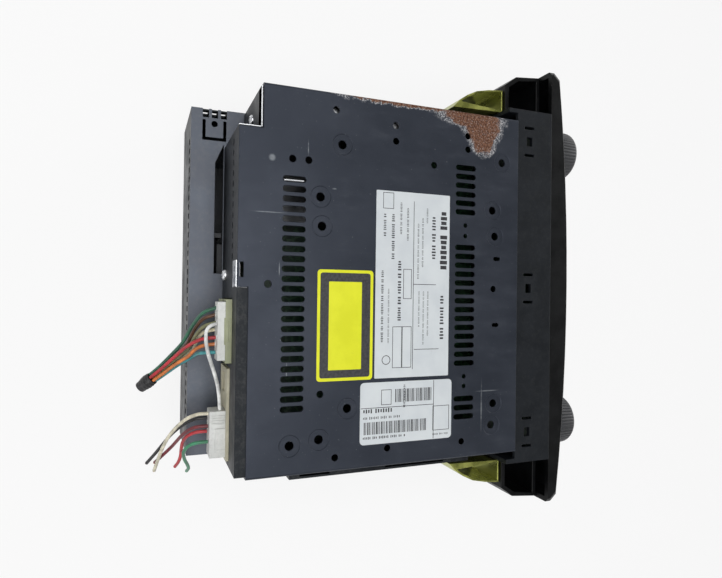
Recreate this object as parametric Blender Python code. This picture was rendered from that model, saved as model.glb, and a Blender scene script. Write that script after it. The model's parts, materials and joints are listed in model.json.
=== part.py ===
"""Car head unit: a radio deck on top of a disc deck, behind a wide convex fascia.

+X runs across the unit, -Y is its front and +Z is up. The origin lies in the plane of the underside,
below the middle of the radio deck. Lengths are metres; angles have names that end in _DEG.
"""

from math import cos, pi, radians, sin, sqrt

import bmesh
import bpy
from mathutils import Vector

# Driving dimensions
CHASSIS_WIDTH = 0.180
CHASSIS_HEIGHT = 0.100
RADIO_DEPTH = 0.150
LEDGE_DEPTH = 0.017
FASCIA_WIDTH = 0.242
DECK_ABOVE_MIDDLE = 0.001
DECK_OVER_DISC = 0.017

# Stock and fits
SHEET = 0.0010
GAP = 0.0003
OVERRUN = 0.004
RUNNING = 0.0003

# Sides of round pieces, and the angles up to which faces shade smooth
KNOB_SIDES = 32
TABLE_SIDES = 24
ROUND_SIDES = 16
PIN_SIDES = 12
SMALL_SIDES = 8
TURNED_SMOOTH_DEG = 40
CURVED_SMOOTH_DEG = 30

# Places that several pieces share
HALF = CHASSIS_WIDTH / 2
FRONT_Y = -RADIO_DEPTH / 2
REAR_Y = RADIO_DEPTH / 2
LEDGE_Y = REAR_Y + LEDGE_DEPTH
LOWER_DECK_HEIGHT = CHASSIS_HEIGHT / 2 + DECK_ABOVE_MIDDLE
DISC_PLANE = LOWER_DECK_HEIGHT - DECK_OVER_DISC
COVER_BOTTOM = CHASSIS_HEIGHT - SHEET
DECK_BOTTOM = LOWER_DECK_HEIGHT - SHEET
WALL_X = HALF - SHEET - GAP
INNER_X = WALL_X - SHEET

# The cut-back corner at the radio deck's rear left, and the cover's shorter right rear edge
NOTCH_WIDTH = 0.0200
NOTCH_DEPTH = 0.0100
NOTCH_X = HALF - NOTCH_WIDTH
NOTCH_Y = REAR_Y - NOTCH_DEPTH
COVER_STEP_X = -0.0033
COVER_STEP = 0.0050


def clear_scene():
    for item in list(bpy.data.objects):
        bpy.data.objects.remove(item, do_unlink=True)


def paint(name, colour, roughness, metallic):
    """A Principled material, one for each object."""
    made = bpy.data.materials.new(name + "_paint")
    made.use_nodes = True
    shader = made.node_tree.nodes["Principled BSDF"]
    shader.inputs["Base Color"].default_value = (*colour, 1)
    shader.inputs["Roughness"].default_value = roughness
    shader.inputs["Metallic"].default_value = metallic
    made.diffuse_color = (*colour, 1)
    return made


def add_object(name, shape, look, smooth_above_deg=None):
    """Turn a bmesh into a named object; faces that meet at less than the angle shade smooth."""
    bmesh.ops.recalc_face_normals(shape, faces=shape.faces)
    mesh = bpy.data.meshes.new(name)
    shape.to_mesh(mesh)
    shape.free()
    if smooth_above_deg:
        mesh.shade_smooth()
        mesh.set_sharp_from_angle(angle=radians(smooth_above_deg))
    made = bpy.data.objects.new(name, mesh)
    bpy.context.collection.objects.link(made)
    if look:
        mesh.materials.append(paint(name, *look))
    return made


def boolean(target, shape, operation):
    """Cut a bmesh from an object, or join it on; the hidden tool stays as a wire guide."""
    tool = add_object(f"{target.name}_{operation.lower()}_tool", shape, None)
    tool.hide_render = True
    tool.display_type = "WIRE"
    step = target.modifiers.new(operation.lower(), "BOOLEAN")
    step.operation = operation
    step.solver = "EXACT"
    step.object = tool


def add_loft(shape, rings, closed=False):
    """Skin rings of points that have the same count, with end caps unless the last joins the first."""
    rows = [[shape.verts.new(point) for point in ring] for ring in rings]
    pairs = list(zip(rows, rows[1:]))
    if closed:
        pairs.append((rows[-1], rows[0]))
    else:
        shape.faces.new(rows[0])
        shape.faces.new(list(reversed(rows[-1])))
    for lower, upper in pairs:
        for index in range(len(lower)):
            after = (index + 1) % len(lower)
            shape.faces.new((lower[index], lower[after], upper[after], upper[index]))


def on_axis(axis, u, v, along):
    """A point of an outline (u, v) that is extruded along an axis."""
    return {"X": (along, u, v), "Y": (u, along, v), "Z": (u, v, along)}[axis]


def add_prism(shape, outline, low, high, axis="Z"):
    add_loft(shape, [[on_axis(axis, u, v, end) for u, v in outline] for end in (low, high)])


def add_box(shape, low, high):
    outline = [(low[0], low[1]), (high[0], low[1]), (high[0], high[1]), (low[0], high[1])]
    add_prism(shape, outline, low[2], high[2])


def ring_points(u, v, radius, sides):
    """A polygon round a centre, with a flat side down."""
    turns = [2 * pi * (index + 0.5) / sides for index in range(sides)]
    return [(u + radius * cos(turn), v + radius * sin(turn)) for turn in turns]


def slot_points(u, v, half_width, half_length):
    """A slot along v with chamfered ends."""
    chamfer = half_width / 2
    side, tip = half_width - chamfer, half_length - chamfer
    corners = [(half_width, -tip), (half_width, tip), (side, half_length), (-side, half_length),
               (-half_width, tip), (-half_width, -tip), (-side, -half_length), (side, -half_length)]
    return [(u + du, v + dv) for du, dv in corners]


def add_turned(shape, axis, centre, profile, sides, closed=False):
    """Turn a profile of (place along the axis, radius) about a line through centre (u, v)."""
    rings = [[on_axis(axis, u, v, along) for u, v in ring_points(*centre, radius, sides)]
             for along, radius in profile]
    add_loft(shape, rings, closed)


def add_rod(shape, axis, centre, radius, low, high, sides):
    add_turned(shape, axis, centre, [(low, radius), (high, radius)], sides)


def block(name, low, high, look):
    shape = bmesh.new()
    add_box(shape, low, high)
    return add_object(name, shape, look)


def turned(name, axis, centre, profile, look, sides=ROUND_SIDES, closed=False):
    shape = bmesh.new()
    add_turned(shape, axis, centre, profile, sides, closed)
    return add_object(name, shape, look, TURNED_SMOOTH_DEG)


# Colours, roughness and metallic values, as (rgb, roughness, metallic)
COVER_LOOK = ((0.085, 0.105, 0.135), 0.45, 0.6)
LEDGE_LOOK = ((0.125, 0.135, 0.165), 0.45, 0.6)
CASE_LOOK = ((0.030, 0.034, 0.042), 0.50, 0.6)
PLASTIC_LOOK = ((0.012, 0.013, 0.016), 0.45, 0.0)
SKIRT_LOOK = ((0.014, 0.017, 0.021), 0.55, 0.0)
KEY_LOOK = ((0.020, 0.021, 0.024), 0.50, 0.0)
PASSIVATED_LOOK = ((0.48, 0.50, 0.10), 0.35, 0.8)
STEEL_LOOK = ((0.55, 0.56, 0.58), 0.30, 1.0)
ALUMINIUM_LOOK = ((0.62, 0.63, 0.65), 0.40, 1.0)
BOARD_LOOK = ((0.030, 0.130, 0.060), 0.50, 0.0)
CHIP_LOOK = ((0.015, 0.015, 0.016), 0.60, 0.0)
LENS_LOOK = ((0.020, 0.025, 0.030), 0.10, 0.0)
SOCKET_LOOK = ((0.380, 0.400, 0.260), 0.50, 0.0)
BEIGE_LOOK = ((0.560, 0.530, 0.400), 0.50, 0.0)
WHITE_LOOK = ((0.720, 0.730, 0.720), 0.45, 0.0)
RUBBER_LOOK = ((0.020, 0.020, 0.022), 0.80, 0.0)
TAPE_LOOK = ((0.010, 0.010, 0.012), 0.60, 0.0)
VINYL_ROUGHNESS = 0.45

# Vents punched in rear walls
VENT_PITCH = 0.0049
CASE_VENT_MARGIN = 0.0160
CASE_VENTS = 1 + int((CHASSIS_WIDTH - 2 * CASE_VENT_MARGIN) / VENT_PITCH)
CASE_VENT_WIDTH = 0.0030
CASE_VENT_HEIGHT = 0.0060
CASE_VENT_DROP = 0.0040

# Three windows at the ledge's left fold, cut through the deck plate and the case's wall alike
FOLD_WINDOWS = 3
FOLD_WINDOW_PITCH = 0.0046
FOLD_WINDOW_LENGTH = 0.0031
FOLD_WINDOW_WIDTH = 0.0046
FOLD_WINDOW_DROP = 0.0090
FOLD_WINDOW_FROM_REAR = 0.0058


def add_fold_windows(shape):
    for index in range(FOLD_WINDOWS):
        high_y = LEDGE_Y - FOLD_WINDOW_FROM_REAR - index * FOLD_WINDOW_PITCH
        low = (HALF - FOLD_WINDOW_WIDTH, high_y - FOLD_WINDOW_LENGTH, LOWER_DECK_HEIGHT - FOLD_WINDOW_DROP)
        high = (HALF + OVERRUN, high_y, LOWER_DECK_HEIGHT + OVERRUN)
        add_box(shape, low, high)


def make_lower_case():
    """The disc deck's tub: floor, sides and rear wall, open at the top and the front."""
    top = DECK_BOTTOM - GAP
    made = block("lower_case", (-HALF, FRONT_Y, 0), (HALF, LEDGE_Y, top), CASE_LOOK)
    hollow = bmesh.new()
    add_box(hollow, (SHEET - HALF, FRONT_Y - OVERRUN, SHEET), (HALF - SHEET, LEDGE_Y - SHEET, top + OVERRUN))
    boolean(made, hollow, "DIFFERENCE")
    cuts = bmesh.new()
    add_fold_windows(cuts)
    vent_top = top - CASE_VENT_DROP
    for index in range(CASE_VENTS):
        x = (index - (CASE_VENTS - 1) / 2) * VENT_PITCH
        low = (x - CASE_VENT_WIDTH / 2, LEDGE_Y - SHEET - OVERRUN, vent_top - CASE_VENT_HEIGHT)
        add_box(cuts, low, (x + CASE_VENT_WIDTH / 2, LEDGE_Y + OVERRUN, vent_top))
    boolean(made, cuts, "DIFFERENCE")


# Screw tab at the ledge's left corner: a square tongue freed by a U-shaped groove
TAB_FROM_SIDE = 0.0103
TAB_FROM_REAR = 0.0118
TAB_X = HALF - TAB_FROM_SIDE
TAB_Y = LEDGE_Y - TAB_FROM_REAR
TAB_SIZE = 0.0090
TAB_GROOVE = 0.0016
TAB_HOLE_RADIUS = 0.0017
TAB_HOLE_OFFSET = 0.0026

# Opening in the ledge along the rear wall
LEDGE_CUT_DEPTH = 0.0046
LEDGE_CUT_FROM_NOTCH = 0.0080
LEDGE_CUT_LEFT = NOTCH_X - LEDGE_CUT_FROM_NOTCH
LEDGE_CUT_RIGHT = 0.0040
LEDGE_CUT_TAPER = 0.0100

# Standoffs for the main board
STANDOFF_RADIUS = 0.0030
STANDOFF_HEIGHT = 0.0060
BOARD_MARGIN = 0.0030
BOARD_HOLE_INSET = 0.0080


def standoff_places():
    """Centres of the four standoffs, in the main board's corners."""
    x = INNER_X - BOARD_MARGIN - BOARD_HOLE_INSET
    front, rear = FRONT_Y + BOARD_MARGIN + BOARD_HOLE_INSET, NOTCH_Y - BOARD_MARGIN - BOARD_HOLE_INSET
    return [(side * x, y) for side in (-1, 1) for y in (front, rear)]


def make_deck_plate():
    """The sheet between the decks; its rear end is the ledge behind the radio deck."""
    made = block("deck_plate", (-HALF, FRONT_Y, DECK_BOTTOM), (HALF, LEDGE_Y, LOWER_DECK_HEIGHT), LEDGE_LOOK)
    cuts = bmesh.new()
    add_fold_windows(cuts)
    below, above = DECK_BOTTOM - OVERRUN, LOWER_DECK_HEIGHT + OVERRUN
    half = TAB_SIZE / 2
    outer = half + TAB_GROOVE
    groove = [(-outer, -half), (-half, -half), (-half, half), (half, half), (half, -half), (outer, -half),
              (outer, outer), (-outer, outer)]
    add_prism(cuts, [(TAB_X - v, TAB_Y + u) for u, v in groove], below, above)
    hole = ring_points(TAB_X + TAB_HOLE_OFFSET, TAB_Y, TAB_HOLE_RADIUS, SMALL_SIDES)
    add_prism(cuts, hole, below, above)
    near, far = REAR_Y + GAP, REAR_Y + LEDGE_CUT_DEPTH
    vent = [(LEDGE_CUT_RIGHT, near), (LEDGE_CUT_LEFT + LEDGE_CUT_TAPER, near),
            (LEDGE_CUT_LEFT, far), (LEDGE_CUT_RIGHT, far)]
    add_prism(cuts, vent, below, above)
    boolean(made, cuts, "DIFFERENCE")
    posts = bmesh.new()
    for place in standoff_places():
        top = LOWER_DECK_HEIGHT + STANDOFF_HEIGHT
        add_rod(posts, "Z", place, STANDOFF_RADIUS, DECK_BOTTOM + SHEET / 2, top, SMALL_SIDES)
    boolean(made, posts, "UNION")


# Main board, and the sockets that stand on it behind the rear wall's cut-outs
BOARD_THICK = 0.0016
BOARD_BOTTOM = LOWER_DECK_HEIGHT + STANDOFF_HEIGHT + GAP
ON_BOARD = BOARD_BOTTOM + BOARD_THICK + GAP
BOARD_REAR_MARGIN = 0.0025

ACCESSORY_FROM_SIDE = 0.0260
ACCESSORY_X = ACCESSORY_FROM_SIDE - HALF
ACCESSORY_WIDTH = 0.0440
ACCESSORY_HEIGHT = 0.0218
ACCESSORY_TOP = ON_BOARD + ACCESSORY_HEIGHT
ACCESSORY_OUT = 0.0012
SOCKET_SPACING = 0.0400
POWER_X = ACCESSORY_X + SOCKET_SPACING
POWER_WIDTH = 0.0300
POWER_HEIGHT = 0.0268
POWER_TOP = ON_BOARD + POWER_HEIGHT
POWER_OUT = 0.0028
SOCKET_DEPTH = 0.0180

# Rear wall: one row of round vents, and a fold along its top right of the step in the cover
WALL_VENT_X = NOTCH_X - VENT_PITCH
WALL_VENTS_FROM_SOCKET = 0.0200
WALL_VENT_SPAN = WALL_VENT_X - POWER_X - POWER_WIDTH / 2 - WALL_VENTS_FROM_SOCKET
WALL_VENTS = 1 + int(WALL_VENT_SPAN / VENT_PITCH)
WALL_VENT_DROP = 0.0160
WALL_VENT_RADIUS = 0.0016
FOLD_DEPTH = 0.0060


def make_upper_case():
    """The radio deck's side and rear walls, stepped round the cut-back corner, and open at the front."""
    outline = [(WALL_X, FRONT_Y), (WALL_X, NOTCH_Y), (NOTCH_X, NOTCH_Y), (NOTCH_X, REAR_Y),
               (-WALL_X, REAR_Y), (-WALL_X, FRONT_Y), (-INNER_X, FRONT_Y), (-INNER_X, REAR_Y - SHEET),
               (NOTCH_X - SHEET, REAR_Y - SHEET), (NOTCH_X - SHEET, NOTCH_Y - SHEET),
               (INNER_X, NOTCH_Y - SHEET), (INNER_X, FRONT_Y)]
    low, high = LOWER_DECK_HEIGHT + GAP, COVER_BOTTOM - GAP
    shape = bmesh.new()
    add_prism(shape, outline, low, high)
    made = add_object("upper_case", shape, CASE_LOOK)
    fold = bmesh.new()
    add_box(fold, (-WALL_X, REAR_Y - FOLD_DEPTH, high - SHEET), (COVER_STEP_X, REAR_Y - SHEET / 2, high))
    boolean(made, fold, "UNION")
    cuts = bmesh.new()
    for x, width, top in ((POWER_X, POWER_WIDTH, POWER_TOP), (ACCESSORY_X, ACCESSORY_WIDTH, ACCESSORY_TOP)):
        side = width / 2 + GAP
        add_box(cuts, (x - side, REAR_Y - OVERRUN, ON_BOARD - GAP), (x + side, REAR_Y + OVERRUN, top + GAP))
    for index in range(WALL_VENTS):
        place = (WALL_VENT_X - index * VENT_PITCH, CHASSIS_HEIGHT - WALL_VENT_DROP)
        add_rod(cuts, "Y", place, WALL_VENT_RADIUS, REAR_Y - OVERRUN, REAR_Y + OVERRUN, SMALL_SIDES)
    boolean(made, cuts, "DIFFERENCE")


# Cooling slots in the top cover: two rows on one pitch, with their margins to the cover's sides
SLOT_PITCH = 0.00462
SLOT_WIDTH = 0.0028
REAR_SLOT_LENGTH = 0.0111
FRONT_SLOT_LENGTH = 0.0121
REAR_SLOT_SHARE = 0.65733
FRONT_SLOT_SHARE = -0.564
REAR_SLOT_Y = REAR_SLOT_SHARE * REAR_Y
FRONT_SLOT_Y = FRONT_SLOT_SHARE * REAR_Y
REAR_SLOTS_FROM_LEFT = 0.0430
REAR_SLOTS_FROM_RIGHT = 0.0300
REAR_SLOT_X = HALF - REAR_SLOTS_FROM_LEFT
REAR_SLOTS = 1 + int((REAR_SLOT_X + HALF - REAR_SLOTS_FROM_RIGHT) / SLOT_PITCH)
FRONT_SLOTS_FROM_LEFT = 0.0293
FRONT_SLOTS_FROM_RIGHT = 0.0195
FRONT_SLOT_X = HALF - FRONT_SLOTS_FROM_LEFT
FRONT_SLOT_SPAN = FRONT_SLOT_X + HALF - FRONT_SLOTS_FROM_RIGHT
FRONT_SLOT_STEPS = (*range(6), *range(9, 23), *range(26, 29))
FRONT_DOT_STEPS = (6.5, 7.7, 23.5, 24.6)
DOT_RADIUS = 0.0012
COVER_FLANGE = 0.0110

# Holes in the top cover, as shares of its half width and half depth, and their sizes
RING_HOLE_RADIUS = 0.0021
RING_SHARES = ((0.728, 0.347), (0.442, 0.488), (0.289, 0.476), (-0.674, 0.293), (-0.827, 0.480),
               (-0.847, 0.668), (0.728, -0.863), (0.440, -0.787), (0.287, -0.809), (-0.700, -0.808),
               (-0.826, -0.792))
SCREW_HOLE_RADIUS = 0.0017
SCREW_HOLE_SHARES = ((0.627, 0.672), (0.627, 0.569), (0.909, 0.391), (-0.019, 0.815), (-0.590, 0.477),
                     (-0.928, 0.373), (-0.904, 0.011), (0.867, -0.025), (0.781, -0.027), (0.671, -0.313),
                     (0.861, -0.577), (0.783, -0.579), (-0.906, -0.549), (-0.024, -0.797))
KEYHOLE_SHARES = ((0.154, -0.824), (-0.237, -0.817))
KEYHOLE_LENGTH = 0.0043
KEYHOLE_WIDTH = 0.0021


def on_cover(shares):
    """Places on the cover at shares of its half width and half depth."""
    return [(across * HALF, along * REAR_Y) for across, along in shares]


def cover_outlines():
    """The outlines of all that is punched through the top cover."""
    wide = SLOT_WIDTH / 2
    for index in range(REAR_SLOTS):
        yield slot_points(REAR_SLOT_X - index * SLOT_PITCH, REAR_SLOT_Y, wide, REAR_SLOT_LENGTH / 2)
    slots, dots = ([(FRONT_SLOT_X - step * SLOT_PITCH, FRONT_SLOT_Y) for step in steps
                    if step * SLOT_PITCH < FRONT_SLOT_SPAN] for steps in (FRONT_SLOT_STEPS, FRONT_DOT_STEPS))
    for x, y in slots:
        yield slot_points(x, y, wide, FRONT_SLOT_LENGTH / 2)
    for radius, places in ((DOT_RADIUS, dots), (RING_HOLE_RADIUS, on_cover(RING_SHARES)),
                           (SCREW_HOLE_RADIUS, on_cover(SCREW_HOLE_SHARES))):
        for x, y in places:
            yield ring_points(x, y, radius, SMALL_SIDES)
    for x, y in on_cover(KEYHOLE_SHARES):
        yield slot_points(x, y, KEYHOLE_WIDTH / 2, KEYHOLE_LENGTH / 2)


def make_top_cover():
    """The labelled cover: a plate with side flanges, two columns of slots and many holes."""
    low = CHASSIS_HEIGHT - COVER_FLANGE
    inside = HALF - SHEET
    outline = [(-HALF, low), (-inside, low), (-inside, COVER_BOTTOM), (inside, COVER_BOTTOM),
               (inside, low), (HALF, low), (HALF, CHASSIS_HEIGHT), (-HALF, CHASSIS_HEIGHT)]
    shape = bmesh.new()
    add_prism(shape, outline, FRONT_Y, REAR_Y, "Y")
    made = add_object("top_cover", shape, COVER_LOOK)
    cuts = bmesh.new()
    below, above = COVER_BOTTOM - OVERRUN, CHASSIS_HEIGHT + OVERRUN
    add_box(cuts, (NOTCH_X, NOTCH_Y, low - OVERRUN), (HALF + OVERRUN, REAR_Y + OVERRUN, above))
    step_y = REAR_Y - COVER_STEP
    add_box(cuts, (-HALF - OVERRUN, step_y, low - OVERRUN), (COVER_STEP_X, REAR_Y + OVERRUN, above))
    for outline in cover_outlines():
        add_prism(cuts, outline, below, above)
    boolean(made, cuts, "DIFFERENCE")


# Side brackets: a plate on pads, which leave see-through gaps beside the cover
BRACKET_STANDOFF = 0.0018
BRACKET_FROM_FRONT = 0.0270
BRACKET_FROM_REAR = 0.0260
BRACKET_FRONT_Y = FRONT_Y + BRACKET_FROM_FRONT
BRACKET_REAR_Y = REAR_Y - BRACKET_FROM_REAR
BRACKET_BOTTOM = 0.0150
BRACKET_DROPS = {1: 0.0120, -1: 0.0045}
PAD_SPAN_SHARES = ((0.0, 0.155), (0.495, 0.794), (0.948, 1.0))
BRACKET_HOLE_RADIUS = 0.0025
BRACKET_HOLE_SPACING = 0.0600
BRACKET_HOLE_HEIGHT = CHASSIS_HEIGHT / 2


def make_side_bracket(name, side):
    """One mounting plate, on the chassis side that side points to."""
    inner = side * (HALF + GAP)
    seat = side * (HALF + GAP + BRACKET_STANDOFF)
    outer = seat + side * SHEET
    top = CHASSIS_HEIGHT - BRACKET_DROPS[side]
    low, high = (min(seat, outer), BRACKET_FRONT_Y, BRACKET_BOTTOM), (max(seat, outer), BRACKET_REAR_Y, top)
    made = block(name, low, high, CASE_LOOK)
    pads = bmesh.new()
    middle = (seat + outer) / 2
    length = BRACKET_REAR_Y - BRACKET_FRONT_Y
    for shares in PAD_SPAN_SHARES:
        front, rear = (BRACKET_FRONT_Y + share * length for share in shares)
        add_box(pads, (min(inner, middle), front, BRACKET_BOTTOM), (max(inner, middle), rear, top))
    boolean(made, pads, "UNION")
    cuts = bmesh.new()
    for end in (-1, 1):
        place = (end * BRACKET_HOLE_SPACING / 2, BRACKET_HOLE_HEIGHT)
        ends = sorted((inner - side * GAP, outer + side * OVERRUN))
        add_rod(cuts, "X", place, BRACKET_HOLE_RADIUS, *ends, SMALL_SIDES)
    boolean(made, cuts, "DIFFERENCE")


# Fascia skirt: the plastic frame between the chassis and the fascia
SKIRT_OVERHANG = 0.0065
SKIRT_WIDTH = CHASSIS_WIDTH + 2 * SKIRT_OVERHANG
SKIRT_MARGIN = 0.0010
SKIRT_WALL = 0.0025
SKIRT_DEPTH = 0.0229
SKIRT_CHEEK = 0.0055
SKIRT_REAR_Y = FRONT_Y - GAP
SKIRT_FRONT_Y = SKIRT_REAR_Y - SKIRT_DEPTH
CATCH_SHARES = (0.819, -0.016, -0.829)
CATCH_FROM_REAR = 0.0077
CATCH_Y = SKIRT_REAR_Y - CATCH_FROM_REAR
CATCH_LENGTH = 0.0036
CATCH_WIDTH = 0.0048
SLIT_OFFSET = 0.0075
SLIT_WIDTH = 0.0014
SLIT_LENGTH = 0.0062


def make_fascia_skirt():
    """A frame whose side walls reach back past the chassis front, with three catches on top."""
    half, low, high = SKIRT_WIDTH / 2, SKIRT_MARGIN, CHASSIS_HEIGHT - SKIRT_MARGIN
    rear = SKIRT_REAR_Y + SKIRT_CHEEK
    made = block("fascia_skirt", (-half, SKIRT_FRONT_Y, low), (half, rear, high), SKIRT_LOOK)
    hollow = bmesh.new()
    inside = half - SKIRT_WALL
    add_box(hollow, (-inside, SKIRT_FRONT_Y - OVERRUN, low + SKIRT_WALL),
            (inside, rear + OVERRUN, high - SKIRT_WALL))
    boolean(made, hollow, "DIFFERENCE")
    cuts = bmesh.new()
    add_box(cuts, (-inside, SKIRT_REAR_Y, low - OVERRUN), (inside, rear + OVERRUN, high + OVERRUN))
    below, above = high - SKIRT_WALL - GAP, high + OVERRUN
    for share in CATCH_SHARES:
        middle = share * half
        holes = [(middle, CATCH_WIDTH, CATCH_LENGTH)]
        holes += [(middle + side * SLIT_OFFSET, SLIT_WIDTH, SLIT_LENGTH) for side in (-1, 1)]
        for x, width, length in holes:
            add_box(cuts, (x - width / 2, CATCH_Y - length / 2, below),
                    (x + width / 2, CATCH_Y + length / 2, above))
    boolean(made, cuts, "DIFFERENCE")


# Fascia panel: convex in plan, with softened top and bottom edges
FASCIA_BOTTOM = 0.0020
FASCIA_TOP = CHASSIS_HEIGHT - FASCIA_BOTTOM
FASCIA_BACK_Y = SKIRT_FRONT_Y - GAP
FASCIA_DEPTH = 0.0138
FASCIA_SAG = 0.0068
FASCIA_WALL = 0.0028
FASCIA_EDGE = 0.0022
FASCIA_CORNER = 0.0035
FASCIA_ARC_STEPS = 12
FASCIA_FRONT_Y = FASCIA_BACK_Y - FASCIA_DEPTH
CAVITY_INSET = 0.0045
CAVITY_HALF = SKIRT_WIDTH / 2 - CAVITY_INSET
POCKET_RIB = 0.0070

# Openings in the fascia
DISC_SLOT_WIDTH = 0.1240
DISC_SLOT_HEIGHT = 0.0050
WINDOW_WIDTH = 0.1000
WINDOW_HEIGHT = 0.0220
WINDOW_DROP = 0.0250
WINDOW_Z = CHASSIS_HEIGHT - WINDOW_DROP
KNOB_FROM_CAVITY = 0.0120
KNOB_X = CAVITY_HALF - KNOB_FROM_CAVITY
KNOB_Z = WINDOW_Z
STEM_RADIUS = 0.0030
KEY_CLEARANCE = 0.0005

# Keys: row heights, sizes and places; a mode key's place is its side and its steps from the seek rocker
KEY_HEIGHT = 0.0110
PRESET_BELOW_WINDOW = 0.0065
PRESET_Z = WINDOW_Z - (WINDOW_HEIGHT + KEY_HEIGHT) / 2 - PRESET_BELOW_WINDOW
PRESET_WIDTH = 0.0320
PRESET_PITCH = 0.0360
PRESET_ROCKERS = 3
MODE_ABOVE_MIDDLE = 0.00125
MODE_Z = (FASCIA_BOTTOM + DISC_PLANE - DISC_SLOT_HEIGHT / 2) / 2 + MODE_ABOVE_MIDDLE
MODE_WIDTH = 0.0200
MODE_PITCH = 0.0240
MODE_KEYS = ((-1, 1), (-1, 0), (1, 0), (1, 1))
SEEK_WIDTH = 0.0440
MODE_X = SEEK_WIDTH / 2 + MODE_PITCH - MODE_WIDTH / 2


def front_y(x, inset=0):
    """The fascia's front surface at a place across it, or a surface that lies inset behind it."""
    half = FASCIA_WIDTH / 2
    radius = (half * half + FASCIA_SAG * FASCIA_SAG) / (2 * FASCIA_SAG)
    return FASCIA_FRONT_Y + inset + radius - sqrt(radius * radius - x * x)


def arc_points(low_x, high_x, inset, steps):
    xs = [low_x + (high_x - low_x) * index / steps for index in range(steps + 1)]
    return [(x, front_y(x, inset)) for x in xs]


def fascia_outline(inset):
    half = FASCIA_WIDTH / 2 - inset
    flank = front_y(half, inset + FASCIA_CORNER)
    arc = arc_points(FASCIA_CORNER - half, half - FASCIA_CORNER, inset, FASCIA_ARC_STEPS)
    return [(-half, FASCIA_BACK_Y), (-half, flank), *arc, (half, flank), (half, FASCIA_BACK_Y)]


def keys():
    """Each key's name, place across, height, width, and whether it rocks."""
    for index in range(PRESET_ROCKERS):
        x = (index - (PRESET_ROCKERS - 1) / 2) * PRESET_PITCH
        yield f"preset_rocker_{index + 1}", x, PRESET_Z, PRESET_WIDTH, True
    yield "seek_rocker", 0, MODE_Z, SEEK_WIDTH, True
    for number, (side, steps) in enumerate(MODE_KEYS, 1):
        yield f"mode_key_{number}", side * (MODE_X + steps * MODE_PITCH), MODE_Z, MODE_WIDTH, False


def add_fascia_pocket(shape, side, low, high):
    """The hollow in one end of the fascia, past the rib that the skirt seats on."""
    near = CAVITY_HALF + POCKET_RIB
    far = FASCIA_WIDTH / 2 - FASCIA_WALL
    outline = [(near, FASCIA_BACK_Y + OVERRUN), (near, front_y(near, FASCIA_WALL)),
               (far - FASCIA_CORNER, front_y(far - FASCIA_CORNER, FASCIA_WALL)),
               (far, front_y(far, FASCIA_WALL + FASCIA_CORNER)), (far, FASCIA_BACK_Y + OVERRUN)]
    add_prism(shape, [(side * x, y) for x, y in outline], low, high)


def make_fascia_panel():
    shape = bmesh.new()
    levels = ((FASCIA_BOTTOM, FASCIA_EDGE), (FASCIA_BOTTOM + FASCIA_EDGE, 0),
              (FASCIA_TOP - FASCIA_EDGE, 0), (FASCIA_TOP, FASCIA_EDGE))
    add_loft(shape, [[(x, y, z) for x, y in fascia_outline(inset)] for z, inset in levels])
    made = add_object("fascia_panel", shape, PLASTIC_LOOK, CURVED_SMOOTH_DEG)
    hollows = bmesh.new()
    low, high = FASCIA_BOTTOM + FASCIA_WALL, FASCIA_TOP - FASCIA_WALL
    inner_arc = arc_points(-CAVITY_HALF, CAVITY_HALF, FASCIA_WALL, FASCIA_ARC_STEPS)
    back = FASCIA_BACK_Y + OVERRUN
    add_prism(hollows, [(-CAVITY_HALF, back), *inner_arc, (CAVITY_HALF, back)], low, high)
    for side in (-1, 1):
        add_fascia_pocket(hollows, side, low, high)
    boolean(made, hollows, "DIFFERENCE")
    cuts = bmesh.new()
    ahead, behind = FASCIA_FRONT_Y - OVERRUN, FASCIA_BACK_Y
    windows = [(0, DISC_PLANE, DISC_SLOT_WIDTH, DISC_SLOT_HEIGHT), (0, WINDOW_Z, WINDOW_WIDTH, WINDOW_HEIGHT)]
    spare = 2 * KEY_CLEARANCE
    windows += [(x, z, width + spare, KEY_HEIGHT + spare) for name, x, z, width, rocks in keys()]
    for x, z, width, height in windows:
        add_box(cuts, (x - width / 2, ahead, z - height / 2), (x + width / 2, behind, z + height / 2))
    for side in (-1, 1):
        hole = STEM_RADIUS + KEY_CLEARANCE
        add_rod(cuts, "Y", (side * KNOB_X, KNOB_Z), hole, ahead, behind, ROUND_SIDES)
    boolean(made, cuts, "DIFFERENCE")


# Front board behind the fascia, and the display on it
FRONT_BOARD_CLEARANCE = 0.0005
FRONT_BOARD_FRONT = FASCIA_BACK_Y + 2 * GAP
FRONT_BOARD_REAR = FRONT_BOARD_FRONT + BOARD_THICK
DISPLAY_MARGIN = 0.0020
LENS_SINK = 0.0004
LENS_THICK = 0.0020
LENS_STEPS = 6


def make_front_board():
    x = SKIRT_WIDTH / 2 - SKIRT_WALL - FRONT_BOARD_CLEARANCE
    low = SKIRT_MARGIN + SKIRT_WALL + FRONT_BOARD_CLEARANCE
    ends = (-x, FRONT_BOARD_FRONT, low), (x, FRONT_BOARD_REAR, CHASSIS_HEIGHT - low)
    made = block("front_board", *ends, BOARD_LOOK)
    cuts = bmesh.new()
    side, rise = DISC_SLOT_WIDTH / 2 + BOARD_THICK, DISC_SLOT_HEIGHT / 2 + BOARD_THICK
    add_box(cuts, (-side, FRONT_BOARD_FRONT - OVERRUN, DISC_PLANE - rise),
            (side, FRONT_BOARD_REAR + OVERRUN, DISC_PLANE + rise))
    boolean(made, cuts, "DIFFERENCE")


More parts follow.
